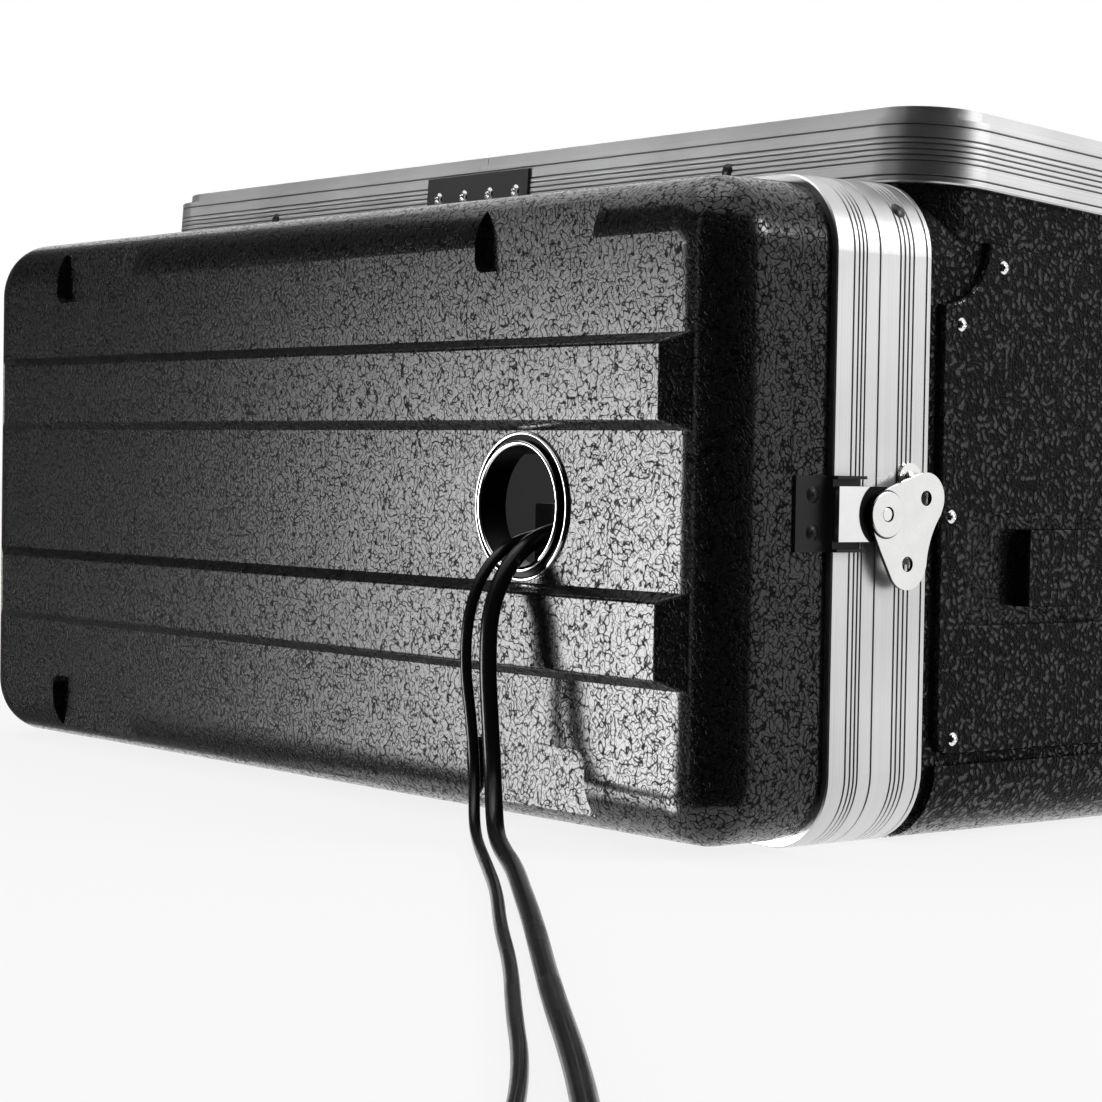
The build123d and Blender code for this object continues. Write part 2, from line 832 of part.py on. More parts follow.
def keeper():
    """Stepped plate on the door, with a lip inside the claw and an ear at each side."""
    band_edge = band_width - latch_overhang
    step = -band_wall
    plate = block((-keeper_near, -keeper_half, 0),
                  (-band_edge - keeper_sheet, keeper_half, keeper_sheet))
    plate += block((-band_edge, -keeper_half, step),
                   (-band_edge - keeper_sheet, keeper_half, keeper_sheet))
    plate += block((-band_edge, -keeper_half, step),
                   (-keeper_far, keeper_half, step + keeper_sheet))
    lip = hook_reach - claw_thickness - claw_clearance
    plate += block((-lip, -hook_half, 0), (-lip + keeper_lip_width, hook_half, keeper_lip_height))
    for side in (-1, 1):
        plate += block((-keeper_near, side * (keeper_half - keeper_sheet), 0),
                       (-keeper_near - ear_length, side * keeper_half, ear_top))
    return place(latch_plane, plate) - holes(keeper_rivet_planes, slot)


keeper_rivet_planes = [
    side_plane(shell_half + keeper_sheet, -latch_overhang - keeper_rivet_forward,
               door_centre + side * keeper_rivet_up) for side in (-1, 1)]


# Folding handle, drawn in the handle's plane


flange_top = dish_sheet - scoop_depth
dish_floor = flange_top - dish_depth
pivot_z = flange_top - pivot_depth
ear_spots = (eye_offset - eye_width / 2 - ear_gap - ear_sheet, eye_offset + eye_width / 2 + ear_gap)


def handle_ear(start):
    """Plate that stands on the dish's floor and carries the pin."""
    plate = block((start, pivot_up - ear_radius, dish_floor),
                  (start + ear_sheet, pivot_up + ear_radius, pivot_z))
    plate += bar((start, pivot_up, pivot_z), (start + ear_sheet, pivot_up, pivot_z), ear_radius)
    return plate - bar((start - overlap, pivot_up, pivot_z),
                       (start + ear_sheet + overlap, pivot_up, pivot_z), pin_radius)


def handle_well():
    """Pressed dish with a flange, and two ears at each end of the bail."""
    flange = slab(RectangleRounded(flange_length, flange_height, flange_corner), -scoop_depth,
                  flange_top)
    outer = slab(RectangleRounded(dish_length + 2 * dish_sheet, dish_height + 2 * dish_sheet,
                                  dish_corner + dish_sheet), dish_floor - dish_sheet, flange_top)
    inner = slab(RectangleRounded(dish_length, dish_height, dish_corner), dish_floor, through)
    inner = fillet(inner.faces().sort_by(Axis.Z)[0].edges(), dish_corner / 3)
    well = flange + outer - inner
    for start in ear_spots:
        well += [handle_ear(start), handle_ear(-start - ear_sheet)]
    return place(handle_plane, well) - holes(handle_rivet_planes, dish_sheet + overlap)


def handle_pins():
    pins = []
    for side in (-1, 1):
        start = side * (ear_spots[0] - pin_end)
        end = side * (ear_spots[1] + ear_sheet + pin_end)
        pins.append(bar((start, pivot_up, pivot_z), (end, pivot_up, pivot_z), pin_radius))
    return [place(handle_plane, pin) for pin in pins]


def handle_bail():
    low = pivot_up - bail_drop
    path = FilletPolyline((-eye_offset, pivot_up, pivot_z), (-eye_offset, low, pivot_z),
                          (eye_offset, low, pivot_z), (eye_offset, pivot_up, pivot_z),
                          radius=bail_bend)
    start = Plane(origin=path @ 0, z_dir=path % 0)
    rod = sweep(place(start, Circle(bail_radius)), path=path)
    for side in (-1, 1):
        inner = side * eye_offset - eye_width / 2
        outer = side * eye_offset + eye_width / 2
        rod += bar((inner, pivot_up, pivot_z), (outer, pivot_up, pivot_z), eye_radius)
        rod -= bar((inner - overlap, pivot_up, pivot_z), (outer + overlap, pivot_up, pivot_z),
                   pin_radius + pin_fit)
    return place(handle_plane, rod)


def handle_grip():
    low = pivot_up - bail_drop
    ends = [(side * grip_length / 2, low, pivot_z) for side in (-1, 1)]
    grip = bar(*ends, grip_radius)
    rims = [edge for edge in grip.edges().filter_by(GeomType.CIRCLE)]
    return place(handle_plane, fillet(rims, grip_edge) - bar(*ends, bail_radius))


# Rear door


def door_block(inset, start):
    """Rounded tray with its closed face to the rear."""
    outline = RectangleRounded(2 * (shell_half - inset), rear_height - 2 * (band_wall + inset),
                               band_radius - band_wall - inset)
    tray = slab(outline, start, door_depth - inset)
    return fillet(top_edges(tray), door_edge_radius - inset)


def rib(side, inset):
    """Long raised rib with sloping sides, above or below the middle of the door."""
    length = rib_length - 2 * inset
    height = rib_far - rib_near - 2 * inset
    low = door_depth - inset - overlap
    base = Pos(0, 0, low) * Rectangle(length, height)
    face = Pos(0, 0, low + rib_height + overlap) * Rectangle(length - 2 * rib_end_slope,
                                                             height - 2 * rib_slope)
    raised = loft([base, face], ruled=True)
    sharp = raised.edges() - raised.faces().sort_by(Axis.Z)[0].edges()
    return Pos(0, side * (rib_near + rib_far) / 2, 0) * fillet(sharp, rib_edge)


def pad(x_side, y_side, margin, low):
    """Tool for a corner recess that runs out over the door's long edge."""
    half = pad_width / 2 + margin
    start = pad_start - margin
    tool = block((-half, start, low), (half, rear_height, through + door_out))
    inner = tool.edges().filter_by(Axis.Z).sort_by(Axis.Y)[:2]
    tool = fillet(inner, pad_corner + margin)
    return Pos(x_side * pad_centre, 0, 0) * (tool if y_side > 0 else mirror(tool, about=Plane.XZ))


def port_plane():
    """Plane of the cable port on the door's face, with its z outwards."""
    return Plane(origin=(-port_offset, at(door_depth), door_centre), x_dir=(-1, 0, 0),
                 z_dir=(0, 1, 0))


def door_shell():
    outer = door_block(0, door_web)
    shell = outer - door_block(wall, 0)
    floor = door_depth - pad_depth
    for x_side in (-1, 1):
        for y_side in (-1, 1):
            shell += pad(x_side, y_side, wall, floor - wall) & outer
    shell += [rib(side, 0) for side in (-1, 1)]
    shell -= [rib(side, wall) for side in (-1, 1)]
    shell -= [pad(x_side, y_side, 0, floor) for x_side in (-1, 1) for y_side in (-1, 1)]
    shell = place(door_plane, shell)
    drill = holes(keeper_rivet_planes, slot)
    drill += [mirrored(hole) for hole in drill]
    drill += holes(door_rivet_planes, rivet_grip)
    sleeve = port_bore + port_sleeve_wall + port_fit
    return shell - drill - place(port_plane(), disc(sleeve, -through / 2, through / 2))


def cable_port_ring():
    """Turned ring: rolled lip, groove, outer bead and a sleeve through the door."""
    back = -(wall + bracket_sheet + port_nut_thickness)
    lip = port_bore + port_lip_width
    bead = port_flange - port_bead_width
    sleeve = port_bore + port_sleeve_wall
    lip_base = port_lip_height - port_lip_width / 2
    edges = [
        Line((port_bore, lip_base), (port_bore, back)),
        Line((port_bore, back), (sleeve, back)),
        Line((sleeve, back), (sleeve, 0)),
        Line((sleeve, 0), (port_flange, 0)),
        Line((port_flange, 0), (port_flange, port_sheet - port_bead_width / 2)),
        ThreePointArc((port_flange, port_sheet - port_bead_width / 2),
                      (port_flange - port_bead_width / 2, port_sheet),
                      (bead, port_sheet - port_bead_width / 2)),
        Line((bead, port_sheet - port_bead_width / 2), (lip, port_groove_floor)),
        Line((lip, port_groove_floor), (lip, lip_base)),
        ThreePointArc((lip, lip_base), (port_bore + port_lip_width / 2, port_lip_height),
                      (port_bore, lip_base)),
    ]
    profile = make_face(Wire(edges))
    return place(port_plane(), revolve(Plane.XZ.location * profile, Axis.Z))


def cable_port_nut():
    back = -(wall + bracket_sheet + port_nut_thickness)
    nut = slab(RegularPolygon(port_nut_radius, 8), back, back + port_nut_thickness)
    return place(port_plane(), nut - disc(port_bore + port_sleeve_wall, -through, through))


def cord_bracket():
    """Plate held under the port's nut, with a shelf that reaches into the door."""
    back = -(wall + bracket_sheet)
    plate = block((-bracket_side, -bracket_drop, back), (bracket_side, bracket_side, -wall))
    plate = fillet(plate.edges().filter_by(Axis.Z).sort_by(Axis.Y)[-2:], bracket_side / 3)
    plate -= disc(port_bore + port_sleeve_wall + port_fit, -through, through)
    plate += block((-bracket_side / 2, -bracket_drop, back),
                   (bracket_side / 2, -bracket_drop + bracket_sheet, back - shelf_length))
    return place(port_plane(), plate) - holes(anchor_screw_planes(), screw_grip, rivet_shank)


def anchor_box():
    """Corners of the anchor block, in the port's plane."""
    low = -bracket_drop + bracket_sheet
    back = -(wall + bracket_sheet + shelf_length)
    return (-anchor_width / 2, low, back), (anchor_width / 2, low + anchor_height,
                                            back + anchor_length)


def anchor_screw_planes():
    """Undersides of the two screws that hold the anchor to the shelf."""
    low, high = anchor_box()
    planes = []
    for side in (-1, 1):
        spot = Vector(side * anchor_screw_offset, low[1] - bracket_sheet, (low[2] + high[2]) / 2)
        planes.append(Plane(origin=port_plane().from_local_coords(spot), z_dir=(0, 0, -1)))
    return planes


def cord_anchor():
    """Block with a blind bore for each cord, screwed to the shelf."""
    low, high = anchor_box()
    body = place(port_plane(), fillet(block(low, high).edges().filter_by(Axis.Z), soft_edge))
    for route, radius in ((mains_route, mains_radius), (audio_route, audio_radius)):
        start, following = cord_points(route)[:2]
        axis = (following - start).normalized()
        body -= bar(start, start + axis * anchor_length, radius)
    return body - holes(anchor_screw_planes(), rivet_grip)


# Cords and plugs


def cord_points(route):
    return [Vector(x, at(behind), up) for x, behind, up in route]


def cord_tube(name, route, radius):
    """Tube along a route of straight runs joined by tangent arcs."""
    points = cord_points(route)
    radii = []
    for before, point, after in zip(points, points[1:], points[2:]):
        arriving, leaving = point - before, after - point
        turn = radians(arriving.get_angle(leaving))
        radii.append(arc_share * min(arriving.length, leaving.length) / tan(turn / 2))
    print(name, "arc radii", [round(value, 1) for value in radii])
    path = FilletPolyline(*points, radius=radii)
    tube = sweep(place(Plane(origin=path @ 0, z_dir=path % 0), Circle(radius)), path=path)
    print(name, "length", round(path.length, 1), "volume over section times length",
          round(tube.volume / (pi * radius ** 2 * path.length), 4))
    return tube


def coil_frame(route):
    """End of a route with its heading and the level direction to its left."""
    before, end = cord_points(route)[-2:]
    ahead = (end - before).normalized()
    return end, ahead, Vector(-ahead.Y, ahead.X, 0)


def half_turns(coil):
    """Radius and rise of each half turn: in, up a layer where it reverses, and out again."""
    inward = [coil["radius"] - coil["pitch"] / 2 * step for step in range(coil["turns_in"])]
    climb = coil["radius"] - coil["pitch"] / 2 * coil["turns_in"]
    outward = inward[::-1] + [coil["radius"] + coil["pitch"] / 2]
    return [(value, 0) for value in inward] + [(climb, coil["layer"])] + [
        (value, 0) for value in outward]


def coil_arcs(route, diameter, coil):
    """Quarter turns of a coil as (start, middle, end), and its last point."""
    point, ahead, left = coil_frame(route)
    across = left * coil["side"]
    point = point + ahead * diameter
    arcs = []
    way = 1
    for radius, rise in half_turns(coil):
        end = point + across * (2 * radius * way) + Vector(0, 0, rise)
        centre = (point + end) / 2
        spoke = point - centre
        bow = ahead * (spoke.length * way)
        c = cos(radians(45))
        arcs.append((point, centre + (spoke + bow) * c, centre + bow))
        arcs.append((centre + bow, centre + (bow - spoke) * c, end))
        point = end
        way = -way
    return arcs, point


def self_gap(path, diameter, count):
    """Least distance between the tube's surfaces at points over half a turn apart."""
    points = [path @ (step / count) for step in range(count + 1)]
    step_length = path.length / count
    apart = int(2.5 * diameter / step_length) + 1
    least = min((a - b).length for i, a in enumerate(points) for b in points[i + apart:])
    return least - diameter


def cord_coil(name, route, radius, coil):
    """Coil as one unbroken tube, with its ends straight."""
    arcs, end = coil_arcs(route, 2 * radius, coil)
    start, ahead, _ = coil_frame(route)
    tail = end + ahead * coil["tail"]
    edges = [Line(start, arcs[0][0]), *[ThreePointArc(*arc) for arc in arcs], Line(end, tail)]
    path = Wire(edges)
    count = gap_steps * len(arcs) * 2
    print(name, "length", round(path.length, 1), "least gap to itself",
          round(self_gap(path, 2 * radius, count), 2))
    return sweep(place(Plane(origin=start, z_dir=ahead), Circle(radius)), path=path)


def plug_plane(route, diameter, coil):
    """Plane at the end of a coil's tail: its z ahead along the cord and its y up."""
    _, end = coil_arcs(route, diameter, coil)
    _, ahead, left = coil_frame(route)
    return Plane(origin=end + ahead * coil["tail"], x_dir=left * -1, z_dir=ahead)


mains_plug_plane = plug_plane(mains_route, 2 * mains_radius, mains_coil)
audio_plug_plane = plug_plane(audio_route, 2 * audio_radius, audio_coil)


def mains_plug():
    """Moulded plug with its tapered strain relief."""
    relief = loft([Circle(mains_radius + soft_edge / 2),
                   Pos(0, 0, relief_length) * Circle(relief_radius)], ruled=True)
    body = slab(RectangleRounded(plug_width, plug_height, plug_corner), relief_length,
                relief_length + plug_length)
    body = fillet(body.faces().sort_by(Axis.Z)[0].edges(), plug_corner / 2)
    return place(mains_plug_plane, relief + body)


def mains_plug_pins():
    face = relief_length + plug_length
    blades = [Pos(side * blade_spacing / 2, blade_up, face + blade_length / 2)
              * Box(blade_sheet, blade_width, blade_length) for side in (-1, 1)]
    ground = disc(ground_radius, face, face + blade_length, 0, -ground_drop)
    ground = fillet(top_edges(ground), ground_radius / 2)
    return group([place(mains_plug_plane, piece) for piece in (*blades, ground)])


def audio_plug():
    """Metal phone plug: relief, barrel, and a shank with a necked tip."""
    face = jack_relief_length + barrel_length
    tip = face + jack_length
    outline = Polyline(
        (0, 0), (audio_radius + soft_edge / 2, 0), (jack_relief_radius, jack_relief_length),
        (barrel_radius, jack_relief_length + soft_edge), (barrel_radius, face - soft_edge),
        (jack_radius * 1.5, face), (jack_radius, face), (jack_radius, tip - 6.5),
        (jack_waist, tip - 4.5), (jack_radius, tip - 3.0), (jack_waist / 2, tip), (0, tip),
        close=True)
    profile = make_face(outline)
    return place(audio_plug_plane, revolve(Plane.XZ.location * profile, Axis.Z))


# Nodes


def pair(name, shape):
    """Left and right copies of a piece, whichever side it was drawn on."""
    both = sorted((shape, mirrored(shape)), key=lambda piece: piece.center().X)
    return {name + "_left": both[0], name + "_right": both[1]}


def both_sides(shapes):
    return group([*shapes, *[mirrored(shape) for shape in shapes]])


def body_nodes():
    side_heads = rivets(side_rivet_planes, slot + panel_proud + post_sheet, side_rivet_head)
    side_heads += rivets(bar_rivet_planes, wall + post_sheet, side_rivet_head)
    black = rivets(rear_rivet_planes + front_rivet_planes + top_rivet_planes, rivet_grip)
    lug_drill = holes(lug_rivet_planes, rivet_grip)
    lug_drill += [mirrored(hole) for hole in lug_drill]
    nodes = {
        "body_shell": body_shell(),
        "rear_valance": body_valance(rear_plane, rear_height)
        - [*holes(rear_rivet_planes, rivet_grip), *lug_drill],
        "front_valance": body_valance(front_plane, front_height)
        - holes(front_rivet_planes, rivet_grip),
        "top_valance": top_valance() - holes(top_rivet_planes + splice_rivet_planes, rivet_grip),
        "top_splice_plate": splice_plate(),
        "splice_rivets": group(rivets(splice_rivet_planes, rivet_grip + splice_sheet,
                                      lift=splice_sheet)),
        "valance_rivets": group(black),
        "side_rivets": both_sides(side_heads),
        "rail_screws": rail_screws(),
    }
    nodes |= pair("rear_post", post(rear_plane, door_centre, rear_post_top, rear_screws))
    nodes |= pair("front_post", post(front_plane, front_height / 2, front_post_top, front_screws))
    nodes |= pair("top_bar", top_bar())
    nodes |= pair("rear_rail", rear_rail())
    nodes |= pair("front_rail", front_rail())
    return nodes | pair("top_rail", top_rail())


def latch_nodes():
    nodes = {
        "latch_spindles": both_sides([latch_spindle()]),
        "latch_rivets": both_sides(rivets(lug_rivet_planes, rivet_grip + base_sheet,
                                          lift=base_sheet)),
    }
    for name, shape in (("base", latch_base()), ("cam", latch_cam()), ("wing", latch_wing()),
                        ("cap", latch_cap()), ("hook", latch_hook())):
        nodes |= pair("latch_" + name, shape)
    return nodes


def handle_nodes():
    grip = scoop_floor - shell_half + wall + dish_sheet
    nodes = {
        "handle_pins": both_sides(handle_pins()),
        "handle_rivets": both_sides(rivets(handle_rivet_planes, grip)),
    }
    for name, shape in (("well", handle_well()), ("bail", handle_bail()),
                        ("grip", handle_grip())):
        nodes |= pair("handle_" + name, shape)
    return nodes


def door_nodes():
    nodes = {
        "door_shell": door_shell(),
        "door_valance": door_valance() - holes(door_rivet_planes, rivet_grip),
        "door_gasket": door_gasket(),
        "door_valance_rivets": group(rivets(door_rivet_planes, rivet_grip)),
        "keeper_rivets": both_sides(rivets(keeper_rivet_planes, wall + keeper_sheet)),
        "cable_port_ring": cable_port_ring(),
        "cable_port_nut": cable_port_nut(),
        "cord_bracket": cord_bracket(),
        "cord_anchor": cord_anchor(),
        "cord_anchor_screws": group(rivets(anchor_screw_planes(), rivet_grip)),
    }
    return nodes | pair("keeper", keeper())


def cord_nodes():
    return {
        "mains_cord": cord_tube("mains cord", mains_route, mains_radius),
        "mains_coil": cord_coil("mains coil", mains_route, mains_radius, mains_coil),
        "mains_plug": mains_plug(),
        "mains_plug_pins": mains_plug_pins(),
        "audio_cord": cord_tube("audio cord", audio_route, audio_radius),
        "audio_coil": cord_coil("audio coil", audio_route, audio_radius, audio_coil),
        "audio_plug": audio_plug(),
    }


def main():
    os.makedirs("parts", exist_ok=True)
    nodes = body_nodes() | latch_nodes() | handle_nodes() | door_nodes() | cord_nodes()
    for name, shape in nodes.items():
        export_step(shape, f"parts/{name}.step")
    print(len(nodes), "nodes")


if __name__ == "__main__":
    main()
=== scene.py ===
# %% [markdown]
# # A slant-top mixer rack case
#
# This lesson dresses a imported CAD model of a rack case. The case has a formed plastic body with
# a leather grain, aluminium valances round its openings, a rear door held by two half-turn
# latches, folding handles, and two cords that leave through a ring in the door.
# The CAD model fixes every shape and place. We add the camera, the cords as soft curves, the
# small moulded details, the finishes and the light.

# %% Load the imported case
import json
from math import cos, pi, radians, sin

import bmesh
import bpy
import numpy as np
from mathutils import Matrix, Vector


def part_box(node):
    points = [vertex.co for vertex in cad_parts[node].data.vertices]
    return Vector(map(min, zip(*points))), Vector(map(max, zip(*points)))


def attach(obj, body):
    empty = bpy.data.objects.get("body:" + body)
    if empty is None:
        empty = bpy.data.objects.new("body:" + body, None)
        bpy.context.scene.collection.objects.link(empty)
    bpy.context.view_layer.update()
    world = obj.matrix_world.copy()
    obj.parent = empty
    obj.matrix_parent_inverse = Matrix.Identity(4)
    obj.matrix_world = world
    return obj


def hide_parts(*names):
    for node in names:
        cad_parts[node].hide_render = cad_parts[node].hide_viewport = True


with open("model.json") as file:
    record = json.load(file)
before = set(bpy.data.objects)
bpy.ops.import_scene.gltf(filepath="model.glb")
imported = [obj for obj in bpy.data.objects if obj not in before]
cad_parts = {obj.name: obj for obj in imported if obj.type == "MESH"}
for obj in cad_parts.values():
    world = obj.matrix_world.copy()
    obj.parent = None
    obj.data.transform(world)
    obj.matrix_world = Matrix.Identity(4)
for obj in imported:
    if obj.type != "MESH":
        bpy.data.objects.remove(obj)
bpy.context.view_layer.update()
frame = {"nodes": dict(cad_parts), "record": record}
nodes = frame["nodes"]
slot_of = {part["node"]: part["material_slot"] for part in frame["record"]["subparts"]}
scene = bpy.context.scene

# %% [markdown]
# ## Camera
#
# The photograph was taken low down from the rear left corner with a fairly long lens. A camera
# has a place, a direction and a roll. We build its three axes from the compass direction it
# stands in, its height above the horizon and its tilt, and write them as the columns of a
# rotation matrix. That is easier to check than three Euler angles.

# %% Place the camera
CAMERA_PLACE = Vector((-1.0153, 0.9592, 0.1438))
CAMERA_AZIMUTH = 231.473
CAMERA_ELEVATION = 1.812
CAMERA_ROLL = 0.934
CAMERA_LENS = 90.13
UP = Vector((0, 0, 1))


def outward(azimuth, elevation):
    """Direction from the case to a point at this azimuth (0 is the front) and elevation."""
    turn, rise = radians(azimuth), radians(elevation)
    return Vector((sin(turn) * cos(rise), -cos(turn) * cos(rise), sin(rise)))


def aimed(back, roll=0.0):
    """Rotation whose Z is the given direction, rolled about it by degrees."""
    back = back.normalized()
    right = UP.cross(back).normalized()
    up = back.cross(right)
    lean = radians(roll)
    axes = (right * cos(lean) + up * sin(lean), up * cos(lean) - right * sin(lean), back)
    return Matrix(axes).transposed()


def add_object(name, data):
    made = bpy.data.objects.new(name, data)
    scene.collection.objects.link(made)
    return made


camera = add_object("camera", bpy.data.cameras.new("camera"))
camera.data.lens = CAMERA_LENS
camera.data.clip_start = 0.01
camera.rotation_mode = "QUATERNION"
camera.location = CAMERA_PLACE
camera.rotation_quaternion = aimed(outward(CAMERA_AZIMUTH, CAMERA_ELEVATION),
                                   CAMERA_ROLL).to_quaternion()
scene.camera = camera
print("camera", [round(value, 3) for value in camera.location], "lens", CAMERA_LENS)

# %% [markdown]
# ## Cords
#
# Two cords hang out of the ring and run off over the floor: a mains lead and a thinner audio
# lead. A cord is one length of something bendy, so it is one NURBS curve with a round bevel.
# The points of its route are control points, which the curve passes smoothly by. The length
# that the photograph doesn't show lies beyond its edge in a neat coil, whose turns are more
# points of the same curve.

# %% The routes, from the anchor inside the door to the start of the coil
MAINS_ROUTE = [
    (-0.1710, 0.2705, 0.1196), (-0.1712, 0.2885, 0.1182), (-0.1720, 0.3072, 0.1073),
    (-0.1735, 0.3185, 0.0885), (-0.1755, 0.3208, 0.0660), (-0.1775, 0.3205, 0.0445),
    (-0.1820, 0.3221, 0.0225), (-0.1976, 0.3328, 0.0060), (-0.2220, 0.3485, 0.0035),
    (-0.2620, 0.3735, 0.0035), (-0.3080, 0.4055, 0.0035), (-0.3640, 0.4445, 0.0035),
    (-0.4460, 0.5035, 0.0035), (-0.5200, 0.5545, 0.0035), (-0.5850, 0.6025, 0.0035),
    (-0.6400, 0.6365, 0.0035),
]
AUDIO_ROUTE = [
    (-0.1605, 0.2705, 0.1175), (-0.1610, 0.2925, 0.1160), (-0.1620, 0.3115, 0.1050),
    (-0.1635, 0.3215, 0.0860), (-0.1640, 0.3230, 0.0650), (-0.1655, 0.3205, 0.0440),
    (-0.1695, 0.3215, 0.0235), (-0.1820, 0.3310, 0.0070), (-0.2050, 0.3460, 0.00235),
    (-0.2440, 0.3720, 0.00235), (-0.2960, 0.4070, 0.00235), (-0.3500, 0.4470, 0.00235),
    (-0.4040, 0.4845, 0.00235), (-0.4570, 0.5245, 0.00235), (-0.5080, 0.5615, 0.00235),
    (-0.5560, 0.6015, 0.00235), (-0.5970, 0.6455, 0.00235),
]
MAINS_COIL = {"side": 1, "radius": 0.043, "pitch": 0.0074, "turns_in": 4, "tail": 0.025}
AUDIO_COIL = {"side": -1, "radius": 0.032, "pitch": 0.005, "turns_in": 6, "tail": 0.020}
MAINS_DIAMETER = 0.0068
AUDIO_DIAMETER = 0.0045
POINTS_IN_HALF_TURN = 6

# %% [markdown]
# The coil goes inwards by half turns, climbs one layer where it reverses, and comes out again
# on top of itself. Control points of a round arc stand a little outside it, by the cosine of
# half their step, because the curve touches the middle of each side of their polygon.

# %% Turns of a coil as control points


def heading(route):
    """Last point of a route, its direction, and the level direction to the left of it."""
    before, end = Vector(route[-2]), Vector(route[-1])
    ahead = (end - before).normalized()
    return end, ahead, Vector((-ahead.y, ahead.x, 0))


def half_turns(coil):
    """Radius and rise of each half turn."""
    steps = [coil["radius"] - coil["pitch"] / 2 * step for step in range(coil["turns_in"] + 1)]
    inward = [(radius, 0) for radius in steps[:-1]]
    climb = [(steps[-1], coil["pitch"])]
    return inward + climb + inward[::-1] + [(coil["radius"] + coil["pitch"] / 2, 0)]


def coil_points(route, diameter, coil):
    """Control points of a coil and its tail."""
    point, ahead, left = heading(route)
    point = point + ahead * diameter
    across = left * coil["side"]
    step = pi / POINTS_IN_HALF_TURN
    made = []
    way = 1
    for radius, rise in half_turns(coil):
        end = point + across * (2 * radius * way) + UP * rise
        centre = (point + end) / 2
        spoke = -across * way
        for count in range(POINTS_IN_HALF_TURN):
            turned = (count + 0.5) * step
            reach = radius / cos(step / 2)
            lift = UP * (rise * ((count + 0.5) / POINTS_IN_HALF_TURN - 0.5))
            made.append(centre + (spoke * cos(turned) + ahead * way * sin(turned)) * reach + lift)
        point = end
        way = -way
    made += [point + ahead * coil["tail"] * share for share in (0.3, 1.0)]
    return made


mains_line = [Vector(p) for p in MAINS_ROUTE] + coil_points(MAINS_ROUTE, MAINS_DIAMETER,
                                                            MAINS_COIL)
audio_line = [Vector(p) for p in AUDIO_ROUTE] + coil_points(AUDIO_ROUTE, AUDIO_DIAMETER,
                                                            AUDIO_COIL)
print("control points: mains", len(mains_line), "audio", len(audio_line))

# %% The cords as bevelled NURBS curves
CORD_SIDES = 5


def add_cord(name, points, diameter):
    curve = bpy.data.curves.new(name, "CURVE")
    curve.dimensions = "3D"
    curve.bevel_depth = 1.0
    curve.bevel_resolution = CORD_SIDES
    curve.use_fill_caps = True
    spline = curve.splines.new("NURBS")
    spline.points.add(len(points) - 1)
    for place, point in zip(spline.points, points):
        place.co = (*point, 1)
        place.radius = diameter / 2
    spline.order_u = 3
    spline.use_endpoint_u = True
    spline.resolution_u = 6
    return add_object(name, curve)


mains_flex = add_cord("mains_flex", mains_line, MAINS_DIAMETER)
audio_flex = add_cord("audio_flex", audio_line, AUDIO_DIAMETER)
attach(mains_flex, "rear_door")
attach(audio_flex, "rear_door")
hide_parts("mains_cord", "mains_coil")
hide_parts("audio_cord", "audio_coil")

# %% [markdown]
# ## Node trees as Python expressions
#
# Shader maths drawn by hand is hard to read. A small class wraps a socket and overloads the
# operators, so that `1 - mask * 0.3` adds two Math nodes. Every other node comes from one
# method, which sets the node's settings first and its sockets after them.

# %% A socket that can stand in an expression


class Signal:
    """A socket whose operators add Math nodes."""

    def __init__(self, tree, port):
        self.tree = tree
        self.port = port

    def maths(self, operation, first, second=0.0):
        return self.tree.node("ShaderNodeMath", {"operation": operation},
                              {0: first, 1: second})["Value"]

    def __add__(self, other):
        return self.maths("ADD", self, other)

    def __sub__(self, other):
        return self.maths("SUBTRACT", self, other)

    def __rsub__(self, other):
        return self.maths("SUBTRACT", other, self)

    def __mul__(self, other):
        return self.maths("MULTIPLY", self, other)

    def __pow__(self, other):
        return self.maths("POWER", self, other)

    def __abs__(self):
        return self.maths("ABSOLUTE", self)

    __radd__ = __add__
    __rmul__ = __mul__

    def sine(self):
        return self.maths("SINE", self)

    def cosine(self):
        return self.maths("COSINE", self)

    def step(self, low, high):
        """Smooth step from 0 at the first value to 1 at the second."""
        return self.tree.node("ShaderNodeMapRange", {"interpolation_type": "SMOOTHSTEP"},
                              {0: self, 1: low, 2: high})["Result"]


# %% A tree that makes nodes by type, settings and values


def set_bends(mapping, bends):
    """Points of a float curve, as (position, height)."""
    curve = mapping.curves[0]
    while len(curve.points) < len(bends):
        curve.points.new(1.0, 1.0)
    for point, bend in zip(curve.points, bends):
        point.location = bend
        point.handle_type = "VECTOR"
    mapping.update()


class Tree:
    """Nodes of a material or of a shape."""

    def __init__(self, tree):
        self.tree = tree

    def node(self, kind, settings=None, values=None):
        """Adds a node and returns its outputs in use by name."""
        made = self.tree.nodes.new(kind)
        for key, value in (settings or {}).items():
            if key == "bends":
                set_bends(made.mapping, value)
            else:
                setattr(made, key, value)
        for key, value in (values or {}).items():
            self.feed(made.inputs, key, value)
        return {port.name: Signal(self, port) for port in made.outputs if port.enabled}

    def feed(self, ports, key, value):
        """Links or sets the socket in use with this name or number."""
        found = [port for port in ports if port.enabled and port.name == key]
        port = found[0] if found else ports[key]
        if isinstance(value, Signal):
            self.tree.links.new(value.port, port)
        else:
            port.default_value = value


# %% [markdown]
# ## Patterns for finishes
#
# Every pattern reads Object coordinates. A CAD node sits at the origin with its place in its
# mesh, so these are metres in the case's own frame, and a grain has the same size on each
# piece. Noise gives stains and dust and, by its level lines, the leather grain. The distance
# to the edge of Voronoi cells gives the open cells of foam.

# %% A material's tree with its patterns


